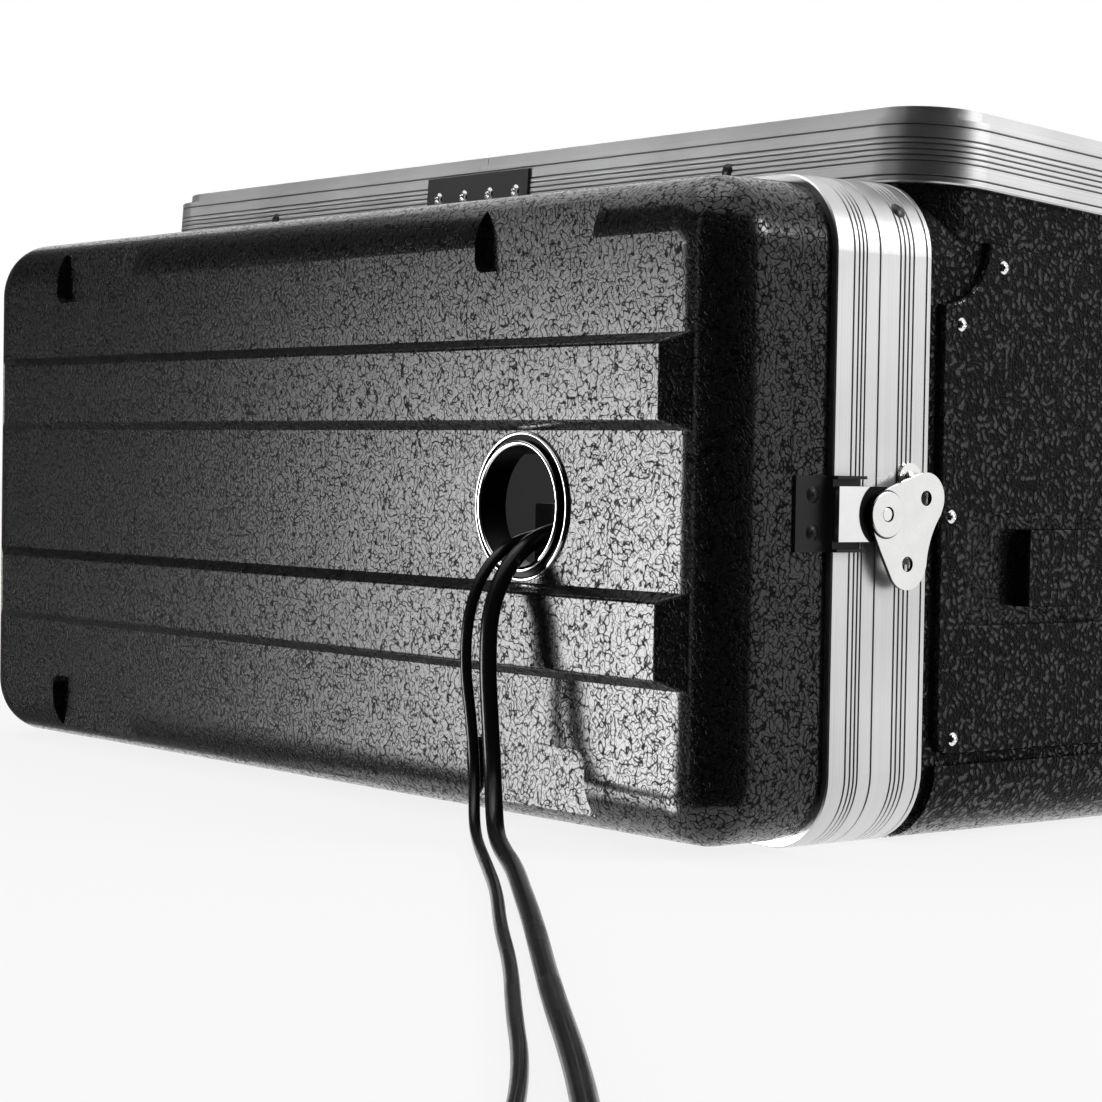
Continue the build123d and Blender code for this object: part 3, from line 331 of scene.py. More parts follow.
class Finish(Tree):
    """Principled material built from patterns in metres."""

    def __init__(self, name):
        self.material = bpy.data.materials.new(name)
        self.material.use_nodes = True
        super().__init__(self.material.node_tree)
        self.shader = self.tree.nodes["Principled BSDF"]

    def place(self, stretch=(1, 1, 1), turn=(0, 0, 0)):
        """Object coordinates, turned and then stretched."""
        here = self.node("ShaderNodeTexCoord")["Object"]
        turned = self.node("ShaderNodeMapping", {}, {"Vector": here, "Rotation": turn})["Vector"]
        return self.node("ShaderNodeMapping", {}, {"Vector": turned, "Scale": stretch})["Vector"]

    def noise(self, scale, detail, point=None):
        """Noise with a number of patches to the metre and of finer layers."""
        values = {"Vector": point or self.place(), "Scale": scale, "Detail": detail}
        return self.node("ShaderNodeTexNoise", {}, values)["Fac"]

    def along(self, direction, start=0.0):
        """Distance along a direction, from the given start."""
        values = {0: self.place(), 1: direction}
        return self.node("ShaderNodeVectorMath", {"operation": "DOT_PRODUCT"},
                         values)["Value"] - start

    def around(self, axis_point, seen):
        """Distance from an axis, with the coordinates across it marked by ones."""
        away = self.node("ShaderNodeVectorMath", {"operation": "SUBTRACT"},
                         {0: self.place(), 1: axis_point})["Vector"]
        flat = self.node("ShaderNodeVectorMath", {"operation": "MULTIPLY"},
                         {0: away, 1: seen})["Vector"]
        return self.node("ShaderNodeVectorMath", {"operation": "LENGTH"}, {0: flat})["Value"]

    def drifted(self, scale, reach):
        """Object coordinates pushed about by noise, so that a pattern isn't too even."""
        point = self.place()
        push = self.node("ShaderNodeTexNoise", {}, {"Vector": point, "Scale": scale})["Color"]
        centred = self.node("ShaderNodeVectorMath", {"operation": "SUBTRACT"},
                            {0: push, 1: (0.5, 0.5, 0.5)})["Vector"]
        return self.node("ShaderNodeVectorMath", {"operation": "MULTIPLY_ADD"},
                         {0: centred, 1: (reach, reach, reach), 2: point})["Vector"]

    def cells(self, scale, point):
        """Distance to the nearest edge between cells."""
        return self.node("ShaderNodeTexVoronoi", {"feature": "DISTANCE_TO_EDGE"},
                         {"Vector": point, "Scale": scale})["Distance"]

    def blend(self, mask, first, second):
        """Colour that goes from the first to the second as the mask goes from 0 to 1."""
        return self.node("ShaderNodeMix", {"data_type": "RGBA"},
                         {"Factor": mask, "A": (*first, 1), "B": (*second, 1)})["Result"]

    def bump(self, height, depth):
        """Normal of a relief, whose height of 1 is a depth in metres."""
        return self.node("ShaderNodeBump", {}, {"Height": height, "Distance": depth})["Normal"]

    def surface(self, values):
        """Sets or links the shader's sockets and gives the material."""
        for key, value in values.items():
            self.feed(self.shader.inputs, key, value)
        return self.material


# %% [markdown]
# ## Formed plastic with a leather grain
#
# The body and the door are vacuum formed from grained black sheet. Its grain is a maze of
# worm-like creases about 2 mm apart, and the smooth lands between them shine where a bright
# window is mirrored. A level line of smooth noise is such a worm-like line, so the distance of
# the noise from its middle value gives the creases. Two noises of unlike scale keep the maze
# irregular. The shine of the lands is a coat that ends at the creases, so these stay black, and
# a weak gloss below it follows the bumps. On the sides the sheet was stretched over the mould:
# there the lands shrink to small glints.

# %% Grained sheet
GRAIN_SCALES = (330, 520)
GRAIN_LAYERS = 0.6
GRAIN_DEPTH = 0.0003
DRIFT_SCALE = 70
DRIFT_REACH = 0.004
CREASE_START = 0.014
CREASE_END = 0.055
GLINT_FADE = 0.055
SIDE_START = 0.27
SIDE_FADE = 0.01
ACROSS = (1, 0, 0)


def grey(value):
    """Neutral colour."""
    return value, value, value


def grained_sheet(name, glint_start):
    """Grained black sheet, whose glints on the sides begin at a distance from the creases."""
    finish = Finish(name)
    point = finish.drifted(DRIFT_SCALE, DRIFT_REACH)
    coarse, fine = [abs(finish.noise(scale, GRAIN_LAYERS, point) - 0.5)
                    for scale in GRAIN_SCALES]
    lands = coarse.step(CREASE_START, CREASE_END) * (fine.step(0.0, CREASE_END) * 0.7 + 0.3)
    glints = coarse.step(glint_start, glint_start + GLINT_FADE)
    glints = glints * (fine.step(0.01, 0.08) * 0.8 + 0.2)
    side = abs(finish.along(ACROSS)).step(SIDE_START, SIDE_START + SIDE_FADE)
    shine = lands * (1 - side) + glints * side
    height = coarse.step(0.0, 0.12) * 0.6 + fine.step(0.0, 0.1) * 0.4
    stain = finish.noise(9, 3.0)
    return finish.surface({
        "Base Color": finish.blend(lands, grey(0.001), grey(0.005)),
        "Roughness": 0.34 - height * 0.1 + stain * 0.04,
        "Specular IOR Level": 0.05,
        "Coat Weight": shine,
        "Coat Roughness": 0.17,
        "Normal": finish.bump(height, GRAIN_DEPTH),
    })


# %% [markdown]
# ## Metals
#
# The valances are extruded, so they have V-grooves and fine die lines, both at fixed distances
# from the seam of their opening. We measure that distance in the shader, as a dot product, and
# repeat the distances of the grooves from the CAD model. The floors of the grooves are darker,
# partly dirt and oxide and partly painted shade.
# Plated metal has a faint mottle and fine scratches, and paint a fine grain and some dust.

# %% Extruded aluminium
REAR_SEAM = 0.2205
FRONT_SEAM = -0.2995
TOP_SEAM = 0.26379
TOP_DOWN = (0, 0.07479, -0.9972)
BODY_MARKS = (0.0081, 0.0104, 0.0128, 0.0151, 0.0221)
DOOR_MARKS = (0.0027, 0.0097, 0.0116, 0.0136, 0.0161)
TOP_MARKS = (0.0027, 0.0078, 0.0100, 0.0122, 0.0144, 0.0166, 0.0222)
MARK_HALF = 0.0005
DIE_LINES = 1500
DIE_LINE_DEPTH = 0.00002
REARWARD = (0, 1, 0)
FORWARD = (0, -1, 0)


def extruded(name, direction, start, marks):
    """Satin aluminium with die lines, and grooves at distances from a seam, dark with dirt and
    painted shade.
    """
    finish = Finish(name)
    depth = finish.along(direction, start)
    lines = finish.node("ShaderNodeTexNoise", {"noise_dimensions": "1D"},
                        {"W": depth * DIE_LINES, "Scale": 1.0, "Detail": 2.0})["Fac"]
    # land is 1 between the grooves; in them the colour darkens, partly dirt and oxide, partly
    # painted shade
    land = 1.0
    for mark in marks:
        land = abs(depth - mark).step(MARK_HALF * 0.3, MARK_HALF) * land
    stain = finish.noise(22, 4.0)
    specks = finish.noise(420, 2.0).step(0.62, 0.72)
    shine = (stain * 0.25 + lines * 0.2 + 0.5) * (land * 0.6 + 0.4)
    return finish.surface({
        "Base Color": finish.blend(shine, grey(0.0), grey(0.86)),
        "Metallic": 1.0,
        "Roughness": 0.24 + lines * 0.14 + stain * 0.08 + specks * 0.06,
        "Normal": finish.bump(lines, DIE_LINE_DEPTH),
    })


# %% Plated metals
SCRATCH_STRETCH = (90, 900, 260)
SCRATCH_TURN = (0.5, 0.3, 0.2)
WEAR_DEPTH = 0.000012


def wear(finish, mottle):
    """Masks of the mottle, with a number of patches to the metre, and of the scratches."""
    scratches = finish.noise(1.0, 2.0, finish.place(SCRATCH_STRETCH, SCRATCH_TURN))
    return finish.noise(mottle, 4.0), scratches.step(0.56, 0.66)


def plated(name, dark, light, roughness, mottle, scratch=0.05):
    """Plated metal whose mottle goes from a dark to a light colour."""
    finish = Finish(name)
    patches, worn = wear(finish, mottle)
    return finish.surface({
        "Base Color": finish.blend(patches, dark, light),
        "Metallic": 1.0,
        "Roughness": roughness + patches * 0.08 + worn * scratch,
        "Normal": finish.bump(worn + patches, WEAR_DEPTH),
    })


# %% Painted and moulded surfaces
DUST_GAIN = 1.6
DUST_LIFT = 0.006


def painted(name, shade, roughness, grain, depth, specular=0.5):
    """Painted or moulded surface with an orange-peel grain."""
    finish = Finish(name)
    peel = finish.noise(grain, 2.0)
    dust = finish.noise(14, 3.0).step(0.45, 0.75)
    dusty = grey(shade * DUST_GAIN + DUST_LIFT)
    return finish.surface({
        "Base Color": finish.blend(dust * 0.6 + peel * 0.2, grey(shade), dusty),
        "Roughness": roughness + dust * 0.1 + peel * 0.05,
        "Specular IOR Level": specular,
        "Normal": finish.bump(peel, depth),
    })


# %% [markdown]
# ## Rubber and foam
#
# The cords have a smooth black jacket with a soft shine, the grip and the plugs are matt, and
# the gasket is an open foam with small dark cells.

# %% Foam
FOAM_CELLS = 900


def foam():
    finish = Finish("foam")
    cells = finish.cells(FOAM_CELLS, finish.drifted(500, 0.001)).step(0.0, 0.3)
    return finish.surface({
        "Base Color": finish.blend(cells, grey(0.03), grey(0.008)),
        "Roughness": 0.95 - cells * 0.1,
        "Normal": finish.bump(1 - cells, 0.0003),
    })


# %% [markdown]
# ## Painted shade on edges and rings
#
# The wing and the cap of a latch are bright sheet with painted shade on their cut edges, and the
# wing has a narrow ring of painted shadow round the cap. The hook is painted dark near its
# spindle, as the cap's shadow on it, and the cable ring has painted shade in its groove and its
# bore. An edge is a depth below the outer face of the sheet, and a ring is a band of distances
# from an axis.

# %% Plated sheet with painted shade on its edges
SPINDLE_AXIS = (0.0, 0.224, 0.127)
ROUND_SPINDLE = (0, 1, 1)
# depths below the outer face over which the painted shade of a cut edge fades in
EDGE_START = 0.0001
EDGE_END = 0.0004
SHADE_FADE = 0.0003
# near black: the painted shade of the latch and port metals, and the colour of the dark screen
NEAR_BLACK = grey(0.01)
NICKEL_DARK = (0.78, 0.78, 0.77)
NICKEL = (0.9, 0.9, 0.89)
NICKEL_MOTTLE = 160
NICKEL_SCRATCH = 0.1


def sheet_metal(name, face_x, shade_reach, roughness):
    """Bright sheet across X, painted shade below its outer face and within a reach of the
    spindle.
    """
    finish = Finish(name)
    depth = finish.along(ACROSS, face_x) * (1 if face_x < 0 else -1)
    near = finish.around(SPINDLE_AXIS, ROUND_SPINDLE)
    # shade is the cap's painted shadow on the wing round the spindle; rim adds painted shade on
    # cut edges
    shade = near.step(shade_reach, shade_reach - SHADE_FADE)
    rim = 1 - (1 - depth.step(EDGE_START, EDGE_END)) * (1 - shade)
    patches, worn = wear(finish, NICKEL_MOTTLE)
    bright = (1 - rim * 0.9) * (patches * 0.15 + 0.8)
    return finish.surface({
        "Base Color": finish.blend(bright, NEAR_BLACK, NICKEL),
        "Metallic": 1.0,
        "Roughness": roughness + patches * 0.08 + worn * NICKEL_SCRATCH,
        "Normal": finish.bump(worn + patches, WEAR_DEPTH),
    })


# %% Plated metal with a ring of painted shade
PORT_AXIS = (-0.1683, 0.0, 0.127)
ROUND_PORT = (1, 0, 1)
RING_FADE = 0.0002


def ringed(name, axis_point, seen, inner, outer, roughness, bore=0.0):
    """Bright metal with painted shade between two distances from an axis, and in its bore."""
    finish = Finish(name)
    away = finish.around(axis_point, seen)
    inside, outside = [away.step(edge - RING_FADE, edge + RING_FADE) for edge in (inner, outer)]
    # painted shade in the groove between the two distances and in the bore
    shade_band = inside - outside + away.step(bore, bore - RING_FADE)
    patches = finish.noise(120, 3.0)
    return finish.surface({
        "Base Color": finish.blend((1 - shade_band) * (patches * 0.15 + 0.85), NEAR_BLACK, grey(0.88)),
        "Metallic": 1.0,
        "Roughness": roughness + patches * 0.06 + shade_band * 0.25,
        "Normal": finish.bump(patches, 0.00001),
    })


# %% [markdown]
# ## One finish for each material slot
#
# The numbers of a painted finish are its shade of grey, its roughness, the patches of its grain
# to the metre, the grain's depth in metres and, where it isn't the usual one, its gloss. Those
# of a plated finish are its two colours, its roughness and the patches of its mottle.

# %% The finish of each material slot
# radii of the cable ring's groove and bore, where its painted shade lies
PORT_RING = (0.0256, 0.0281)
PORT_BORE = 0.0238
finishes = {
    "shell": grained_sheet("door_sheet", 0.02),
    "valance": extruded("rear_valance_band", FORWARD, -REAR_SEAM, BODY_MARKS),
    "black_rivet": painted("black_rivet_paint", 0.008, 0.28, 700, 0.00004),
    "splice": painted("blackened_plate", 0.02, 0.34, 500, 0.00005),
    "bright_rivet": plated("bright_rivet", grey(0.78), grey(0.9), 0.14, 300),
    "steel": painted("powder_coat", 0.012, 0.45, 1100, 0.00012),
    "rail": plated("zinc_rail", (0.42, 0.42, 0.43), (0.62, 0.62, 0.63), 0.3, 120),
    "screw": painted("black_oxide", 0.015, 0.36, 1500, 0.00002),
    "handle": painted("handle_black", 0.005, 0.34, 900, 0.00006, 0.3),
    "keeper": painted("keeper_black", 0.005, 0.3, 800, 0.00004, 0.25),
    "grip": painted("grip_rubber", 0.01, 0.7, 900, 0.0001, 0.35),
    "latch": plated("latch_nickel", NICKEL_DARK, NICKEL, 0.16, NICKEL_MOTTLE, NICKEL_SCRATCH),
    "gasket": foam(),
    "port": ringed("port_chrome", PORT_AXIS, ROUND_PORT, *PORT_RING, 0.05, PORT_BORE),
    "nut": painted("moulded_nut", 0.012, 0.5, 1300, 0.00008),
    "anchor": painted("moulded_anchor", 0.014, 0.55, 1300, 0.00008),
    "cord": painted("cord_jacket", 0.004, 0.2, 600, 0.00003, 0.3),
    "plug": painted("plug_rubber", 0.01, 0.5, 1400, 0.00008),
    "blade": plated("blade_brass", (0.62, 0.45, 0.2), (0.8, 0.62, 0.3), 0.22, 200),
    "jack": plated("jack_nickel", (0.74, 0.74, 0.72), (0.86, 0.86, 0.84), 0.14, 150),
}

# %% Nodes with a finish of their own
# the hook's painted shadow under the cap reaches this far from the spindle, the wing's this far
# past the cap
HOOK_RING = (-1.0, 0.0123)
WING_SHADE = 0.0007
other_finishes = {
    "body_shell": grained_sheet("body_sheet", 0.11),
    "top_valance": extruded("top_valance_band", TOP_DOWN, -TOP_SEAM, TOP_MARKS),
    "front_valance": extruded("front_valance_band", REARWARD, FRONT_SEAM, BODY_MARKS),
    "door_valance": extruded("door_valance_band", REARWARD, REAR_SEAM, DOOR_MARKS),
}
for side in ("left", "right"):
    other_finishes[f"latch_hook_{side}"] = ringed(f"hook_nickel_{side}", SPINDLE_AXIS,
                                                  ROUND_SPINDLE, *HOOK_RING, 0.16)
    cap_low, cap_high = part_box(f"latch_cap_{side}")
    shade_reach = {"wing": (cap_high.z - cap_low.z) / 2 + WING_SHADE, "cap": 0.0}
    for piece, reach in shade_reach.items():
        low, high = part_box(f"latch_{piece}_{side}")
        face_x = low.x if side == "left" else high.x
        other_finishes[f"latch_{piece}_{side}"] = sheet_metal(f"{piece}_nickel_{side}", face_x,
                                                              reach, 0.18)
print(len(finishes) + len(other_finishes), "finishes")

# %% Give every CAD node its finish


def paint(piece, material):
    if not piece.data.materials:
        piece.data.materials.append(material)
    for slot in piece.material_slots:
        slot.material = material


for name, node in nodes.items():
    paint(node, other_finishes.get(name) or finishes[slot_of[name]])
paint(mains_flex, finishes["cord"])
paint(audio_flex, finishes["cord"])

# %% [markdown]
# ## Shapes that repeat
#
# Ribs on a strain relief, rings on a grip, the mouth of a blind rivet and the knurl of a plug
# follow rules, so Geometry Nodes make them. Each tree has named inputs and ends in Realize
# Instances and Set Material. We evaluate it, keep the result as a plain mesh and drop the
# modifier, because a part of a library needs meshes.

# %% A tree that makes a shape


class Shape(Tree):
    """Geometry Nodes tree with named inputs."""

    KINDS = {int: "NodeSocketInt", float: "NodeSocketFloat"}

    def __init__(self, name, **defaults):
        super().__init__(bpy.data.node_groups.new(name, "GeometryNodeTree"))
        face = self.tree.interface
        face.new_socket("Geometry", in_out="OUTPUT", socket_type="NodeSocketGeometry")
        face.new_socket("Geometry", in_out="INPUT", socket_type="NodeSocketGeometry")
        self.keys = {}
        for label, value in defaults.items():
            made = face.new_socket(label, in_out="INPUT", socket_type=self.KINDS[type(value)])
            made.default_value = value
            self.keys[label] = made.identifier
        made = face.new_socket("material", in_out="INPUT", socket_type="NodeSocketMaterial")
        self.keys["material"] = made.identifier
        inputs = self.tree.nodes.new("NodeGroupInput").outputs
        self.given = {port.name: Signal(self, port) for port in inputs if port.name}
        self.output = self.tree.nodes.new("NodeGroupOutput").inputs

    def close(self, geometry):
        """Ends the tree: shade smooth, realize, set the material."""
        real = self.node("GeometryNodeRealizeInstances", {}, {"Geometry": geometry})["Geometry"]
        smooth = self.node("GeometryNodeSetShadeSmooth", {}, {"Geometry": real})["Geometry"]
        done = self.node("GeometryNodeSetMaterial", {},
                         {"Geometry": smooth, "Material": self.given["material"]})["Geometry"]
        self.feed(self.output, "Geometry", done)
        return self


def grow(shape, name, body, slot, values, frames=(Matrix.Identity(4),), seed=None):
    """Evaluates a shape, puts a copy of it in each frame, and rides the plain mesh on a body."""
    piece = add_object(name, seed or bpy.data.meshes.new(name))
    modifier = piece.modifiers.new("shape", "NODES")
    modifier.node_group = shape.tree
    for label, value in {**values, "material": finishes[slot]}.items():
        modifier[shape.keys[label]] = value
    evaluated = piece.evaluated_get(bpy.context.evaluated_depsgraph_get())
    once = bpy.data.meshes.new_from_object(evaluated)
    piece.modifiers.remove(modifier)
    joined = bmesh.new()
    for placed in frames:
        copy = once.copy()
        copy.transform(placed)
        joined.from_mesh(copy)
    whole = bpy.data.meshes.new(name)
    joined.to_mesh(whole)
    joined.free()
    whole.materials.append(finishes[slot])
    piece.data = whole
    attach(piece, body)
    print(name, len(whole.polygons), "faces")
    return piece


def on_axis(start, direction):
    """Frame with its Z along a direction."""
    turn = Vector(direction).to_track_quat("Z", "Y").to_matrix().to_4x4()
    return Matrix.Translation(Vector(start)) @ turn


# %% [markdown]
# ## Ribbed sleeve
#
# A strain relief and a rubber grip are the same shape: a round sleeve whose radius changes
# evenly from one end to the other, with soft ribs on it. A straight curve is resampled into
# steps, and Curve to Mesh takes the radius of each step as its scale.

# %% Sleeve tree


def sleeve_shape():
    shape = Shape("ribbed_sleeve", length=0.02, start_radius=0.004, end_radius=0.005,
                  rib_height=0.0005, ribs=6, steps=97, sides=32)
    given = shape.given
    end = shape.node("ShaderNodeCombineXYZ", {}, {"Z": given["length"]})["Vector"]
    line = shape.node("GeometryNodeCurvePrimitiveLine", {}, {"End": end})["Curve"]
    line = shape.node("GeometryNodeResampleCurve", {},
                      {"Curve": line, "Count": given["steps"]})["Curve"]
    share = shape.node("GeometryNodeSplineParameter")["Factor"]
    wave = abs((share * given["ribs"] * pi).sine()) ** 0.6
    radius = given["start_radius"] + (given["end_radius"] - given["start_radius"]) * share
    radius = radius + wave * given["rib_height"]
    circle = shape.node("GeometryNodeCurvePrimitiveCircle", {},
                        {"Resolution": given["sides"], "Radius": 1.0})["Curve"]
    mesh = shape.node("GeometryNodeCurveToMesh", {},
                      {"Curve": line, "Profile Curve": circle, "Scale": radius,
                       "Fill Caps": True})["Mesh"]
    return shape.close(mesh)


ribbed_sleeve = sleeve_shape()

# %% Strain relief on the mains plug
RELIEF_LENGTH = 0.022
mains_ahead = heading(MAINS_ROUTE)[1]
mains_relief = grow(ribbed_sleeve, "mains_relief", "rear_door", "plug",
                    {"length": RELIEF_LENGTH, "start_radius": 0.0042, "end_radius": 0.0057,
                     "rib_height": 0.0007, "ribs": 7},
                    [on_axis(mains_line[-1], mains_ahead)])


# %% [markdown]
# ## Rubber grips
#
# The bail of each handle goes through a rubber grip. The CAD node has its plain form, and the
# sleeve lies on it with the finger rings that such grips have.

# %% Grip rings
GRIP_INSET = 0.006
GRIP_SINK = 0.0001
for side in ("left", "right"):
    low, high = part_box(f"handle_grip_{side}")
    start = Vector(((low.x + high.x) / 2, low.y + GRIP_INSET, (low.z + high.z) / 2))
    valley = (high.z - low.z) / 2 - GRIP_SINK
    grow(ribbed_sleeve, f"grip_rings_{side}", f"handle_{side}", "grip",
         {"length": high.y - low.y - 2 * GRIP_INSET, "start_radius": valley,
          "end_radius": valley, "rib_height": 0.0006, "ribs": 16, "steps": 193},
         [on_axis(start, REARWARD)])


# %% [markdown]
# ## Blind rivets
#
# The bright rivets are blind rivets: after one is set, the stub of its mandrel stays in a
# small mouth in the middle of the head. We find each rivet in its CAD node as a loose island,
# take its axis from the way its points spread, and put a turned mouth on its crown.
# The mouth is a flat grid bent round into a disc, with its height from a float curve.

# %% Find the crowns of the rivets
SAME_POINT = 1e-6
RIM_SHARE = 0.8


def islands(node):
    """Point sets of the separate solids of a CAD node."""
    mesh = bmesh.new()
    mesh.from_mesh(node.data)
    bmesh.ops.remove_doubles(mesh, verts=mesh.verts, dist=SAME_POINT)
    left = set(mesh.verts)
    found = []
    while left:
        todo = [left.pop()]
        group = [todo[0]]
        while todo:
            for edge in todo.pop().link_edges:
                for vert in edge.verts:
                    if vert in left:
                        left.remove(vert)
                        todo.append(vert)
                        group.append(vert)
        found.append(np.array(sorted(tuple(vert.co) for vert in group)))
    mesh.free()
    return sorted(found, key=lambda points: tuple(np.round(points.mean(0), 5)))


def crown(points):
    """Top of a rivet and its direction, which is the outward axis of its own symmetry."""
    centre = points.mean(0)
    spread, axes = np.linalg.eigh(np.cov((points - centre).T))
    odd = 2 if spread[2] - spread[1] > spread[1] - spread[0] else 0
    axis = axes[:, odd]
    along = (points - centre) @ axis
    radial = np.linalg.norm((points - centre) - np.outer(along, axis), axis=1)
    rim = along[radial > RIM_SHARE * radial.max()].mean()
    axis = axis if rim > (along.max() + along.min()) / 2 else -axis
    along = (points - centre) @ axis
    middle = (points - np.outer(along, axis)).mean(0)
    return Vector(middle + axis * along.max()), Vector(axis)


def crowns(names):
    """Mesh of one point for each rivet's crown, with its direction in an attribute."""
    found = [crown(points) for name in names for points in islands(nodes[name])]
    mesh = bpy.data.meshes.new("crowns")
    mesh.from_pydata([place for place, _ in found], [], [])
    axis = mesh.attributes.new("axis", "FLOAT_VECTOR", "POINT")
    axis.data.foreach_set("vector", np.array([a for _, a in found], np.float32).ravel())
    return mesh


# %% Turned mouth on each crown
MOUTH = ((0.0, 0.62), (0.35, 0.66), (0.48, 0.5), (0.54, 0.2), (0.6, 0.85), (0.75, 1.0),
         (0.88, 0.75), (1.0, 0.0))


def mouth_shape():
    shape = Shape("rivet_mouth", radius=0.0013, height=0.0004, sunk=0.4, rings=15, sides=24)
    given = shape.given
    grid = shape.node("GeometryNodeMeshGrid", {},
                      {"Size X": 1.0, "Size Y": 1.0, "Vertices X": given["rings"],
                       "Vertices Y": given["sides"] + 1})["Mesh"]
    here = shape.node("GeometryNodeInputPosition")["Position"]
    flat = shape.node("ShaderNodeSeparateXYZ", {}, {"Vector": here})
    share = flat["X"] + 0.5
    angle = (flat["Y"] + 0.5) * (2 * pi)
    lift = shape.node("ShaderNodeFloatCurve", {"bends": MOUTH}, {"Value": share})["Value"]
    reach = share * given["radius"]
    bent = shape.node("ShaderNodeCombineXYZ", {},
                      {"X": reach * angle.cosine(), "Y": reach * angle.sine(),
                       "Z": (lift - given["sunk"]) * given["height"]})["Vector"]
    disc = shape.node("GeometryNodeSetPosition", {},
                      {"Geometry": grid, "Position": bent})["Geometry"]
    disc = shape.node("GeometryNodeMergeByDistance", {},
                      {"Geometry": disc, "Distance": SAME_POINT})["Geometry"]
    axis = shape.node("GeometryNodeInputNamedAttribute", {"data_type": "FLOAT_VECTOR"},
                      {"Name": "axis"})["Attribute"]
    turn = shape.node("FunctionNodeAlignRotationToVector", {"axis": "Z"},
                      {"Vector": axis})["Rotation"]
    many = shape.node("GeometryNodeInstanceOnPoints", {},
                      {"Points": given["Geometry"], "Instance": disc,
                       "Rotation": turn})["Instances"]
    return shape.close(many)


rivet_mouth = mouth_shape()
grow(rivet_mouth, "case_rivet_mouths", "case", "bright_rivet", {},
     seed=crowns(["side_rivets", "splice_rivets", "handle_rivets"]))
grow(rivet_mouth, "latch_rivet_mouths", "case", "latch", {}, seed=crowns(["latch_rivets"]))
grow(rivet_mouth, "keeper_rivet_mouths", "rear_door", "keeper", {},
     seed=crowns(["keeper_rivets"]))


# %% [markdown]
# ## Knurl on the audio plug
#
# Fingers hold the metal plug by a band of fine ridges. One thin bar stands on each point of a
# circle and turns with it.

# %% Knurl tree


def knurl_shape():
    shape = Shape("knurl", radius=0.007, length=0.02, ridge=0.0007, count=40)
    given = shape.given
    circle = shape.node("GeometryNodeMeshCircle", {},
                        {"Vertices": given["count"], "Radius": given["radius"]})["Mesh"]
    size = shape.node("ShaderNodeCombineXYZ", {},
                      {"X": given["ridge"], "Y": given["ridge"], "Z": given["length"]})["Vector"]
    ridge = shape.node("GeometryNodeMeshCube", {}, {"Size": size})["Mesh"]
    here = shape.node("GeometryNodeInputPosition")["Position"]
    turn = shape.node("FunctionNodeAlignRotationToVector", {"axis": "X"},
                      {"Vector": here})["Rotation"]
    lean = shape.node("FunctionNodeAxisAngleToRotation", {},
                      {"Axis": (0, 0, 1), "Angle": pi / 4})["Rotation"]
    turn = shape.node("FunctionNodeRotateRotation", {"rotation_space": "LOCAL"},
                      {"Rotation": turn, "Rotate By": lean})["Rotation"]
    many = shape.node("GeometryNodeInstanceOnPoints", {},
                      {"Points": circle, "Instance": ridge, "Rotation": turn})["Instances"]
    return shape.close(many)


BARREL_MIDDLE = 0.031
audio_ahead = heading(AUDIO_ROUTE)[1]
audio_knurl = grow(knurl_shape(), "audio_knurl", "rear_door", "jack",
                   {"radius": 0.0069, "length": 0.022, "ridge": 0.0006},
                   [on_axis(audio_line[-1] + audio_ahead * BARREL_MIDDLE, audio_ahead)])


# %% [markdown]
# ## Floor and light
#
# The case stands on a pale floor in a white room. One softbox lights the door, one the left
# side, and a third hangs above. The first isn't seen in reflections, because the window that
# the grained door mirrors comes in a later step. The world is white for the camera and for
# reflections, and greyer for diffuse light, so that colours render about as they are written.

# %% World
WORLD_FILL = 0.45


def white_room():
    world = bpy.data.worlds.new("white_room")
    world.use_nodes = True
    tree = Tree(world.node_tree)
    ray = tree.node("ShaderNodeLightPath")
    seen = ray["Is Camera Ray"] + ray["Is Glossy Ray"] + ray["Is Transmission Ray"]
    background = world.node_tree.nodes["Background"]
    background.inputs["Color"].default_value = (1, 1, 1, 1)
    strength = tree.node("ShaderNodeMapRange", {}, {0: seen, 3: WORLD_FILL, 4: 1.0})["Result"]
    tree.feed(background.inputs, "Strength", strength)
    scene.world = world


white_room()

# %% Softboxes


def softbox(name, place, target, size, radiance):
    """Rectangular lamp at a place, turned to a target, as bright as the given radiance."""
    data = bpy.data.lights.new(name, "AREA")
    data.shape = "RECTANGLE"
    data.size, data.size_y = size
    data.energy = radiance * pi * size[0] * size[1]
    lamp = add_object(name, data)
    lamp.location = place
    lamp.rotation_mode = "QUATERNION"
    lamp.rotation_quaternion = aimed(Vector(place) - Vector(target)).to_quaternion()
    lamp.visible_camera = False
    return lamp


DOOR_MIDDLE = (-0.2, 0.30, 0.12)
SIDE_MIDDLE = (-0.29, 0.2, 0.12)
TOP_MIDDLE = (0.0, 0.05, 0.2)
door_softbox = softbox("door_softbox", (1.435, 1.772, 0.6), DOOR_MIDDLE, (0.5, 0.7), 4)
door_softbox.visible_glossy = False
softbox("side_softbox", (-2.0, -1.0, 1.3), SIDE_MIDDLE, (0.7, 0.7), 12)
softbox("top_softbox", (0.3, 0.2, 2.2), TOP_MIDDLE, (1.6, 1.4), 1.6)

# %% Floor


def card(name, points, faces, material):
    mesh = bpy.data.meshes.new(name)
    mesh.from_pydata(points, [], faces)
    mesh.materials.append(material)
    made = add_object(name, mesh)
    return made


FLOOR_SHADE = 0.82
FLOOR_GLOW = 0.85


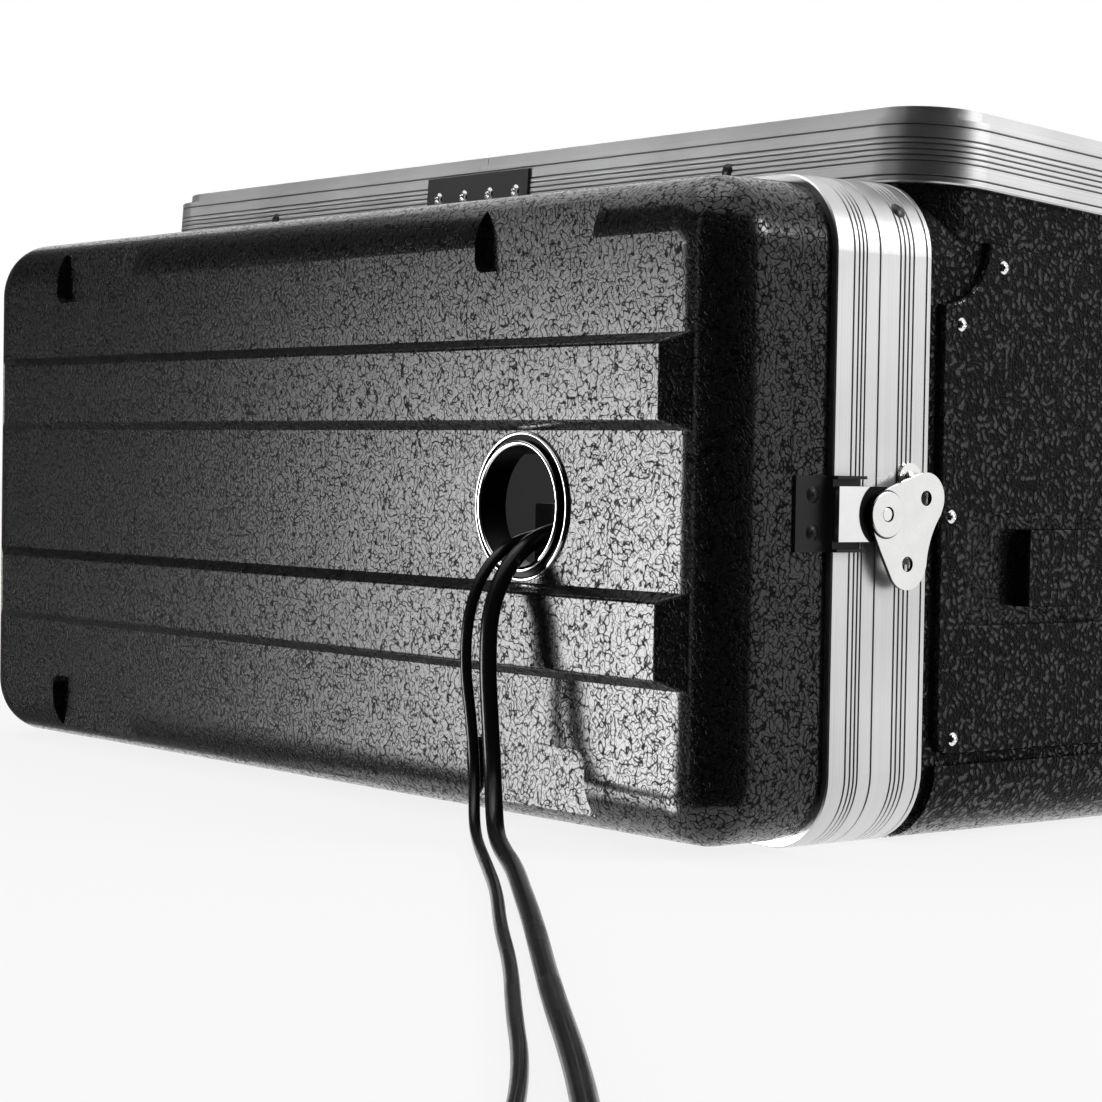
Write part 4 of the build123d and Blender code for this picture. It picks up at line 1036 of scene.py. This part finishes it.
def floor_finish():
    """Pale floor that goes over into the white room and keeps the shadow of the case."""
    finish = Finish("pale_floor")
    finish.surface({"Base Color": (*grey(FLOOR_SHADE), 1), "Roughness": 0.9,
                    "Specular IOR Level": 0.0})
    ray = finish.node("ShaderNodeLightPath")
    white = finish.node("ShaderNodeEmission", {}, {"Color": (1, 1, 1, 1), "Strength": 1.0})
    shader = Signal(finish, finish.shader.outputs["BSDF"])
    mixed = finish.node("ShaderNodeMixShader", {},
                        {0: ray["Is Camera Ray"] * FLOOR_GLOW, 1: shader,
                         2: white["Emission"]})
    output = finish.tree.nodes["Material Output"]
    finish.feed(output.inputs, "Surface", mixed["Shader"])
    return finish.material


FLOOR_HALF = 14.0
FLOOR_DROP = -0.0002
floor_corners = [(x * FLOOR_HALF, y * FLOOR_HALF, FLOOR_DROP)
                 for x, y in ((-1, -1), (1, -1), (1, 1), (-1, 1))]
floor = card("floor", floor_corners, [(0, 1, 2, 3)], floor_finish())
floor.visible_glossy = False

# %% [markdown]
# ## What the glossy surfaces mirror
#
# A black glossy surface shows little but what it mirrors. In the photograph the door mirrors a
# glowing window that stands low and fades upwards and to one side, and the round edges mirror
# darkness. Two curved screens that only reflections can see give the same: a dark one behind
# the camera, and a dark one with a glowing window where the door mirrors it.

# %% Curved screens
SCREEN_DROP = -1.6
SCREEN_PANELS = 12


def screen(name, azimuths, reach, top, material):
    """Curved upright screen round the case, seen only in reflections."""
    first, last = azimuths
    points = []
    for count in range(SCREEN_PANELS + 1):
        foot = outward(first + (last - first) * count / SCREEN_PANELS, 0) * reach
        points += [foot + UP * SCREEN_DROP, foot + UP * top]
    faces = [(2 * k, 2 * k + 1, 2 * k + 3, 2 * k + 2) for k in range(SCREEN_PANELS)]
    made = card(name, points, faces, material)
    for ray_kind in ("camera", "diffuse", "shadow", "transmission"):
        setattr(made, f"visible_{ray_kind}", False)
    return made


WINDOW_AZIMUTH = 142.3
WINDOW_LEFT = (-0.62, 0.05)
WINDOW_RIGHT = (0.45, 0.25)
WINDOW_TOP = (0.55, 0.05)
WINDOW_GLOW = 16
SCREEN_GLOW = 0.06


def window_finish():
    """Dark screen with a window that glows most low down and on its right."""
    finish = Finish("glowing_window")
    aside = UP.cross(outward(WINDOW_AZIMUTH, 0))
    across = finish.along(aside)
    height = finish.along(UP)
    glow = across.step(*WINDOW_LEFT) * across.step(*WINDOW_RIGHT) * height.step(*WINDOW_TOP)
    light = finish.node("ShaderNodeEmission", {}, {"Strength": glow * WINDOW_GLOW + SCREEN_GLOW})
    finish.feed(finish.tree.nodes["Material Output"].inputs, "Surface", light["Emission"])
    finish.material.cycles.emission_sampling = "NONE"
    return finish.material


dark = Finish("dark_screen")
dark.surface({"Base Color": (*NEAR_BLACK, 1), "Roughness": 1.0, "Specular IOR Level": 0.0})
screen("camera_screen", (180, 279), 2.0, 2.2, dark.material)
screen("door_screen", (80, 176), 2.33, 2.0, window_finish())

# %% Colours as they are
scene.view_settings.view_transform = "Standard"
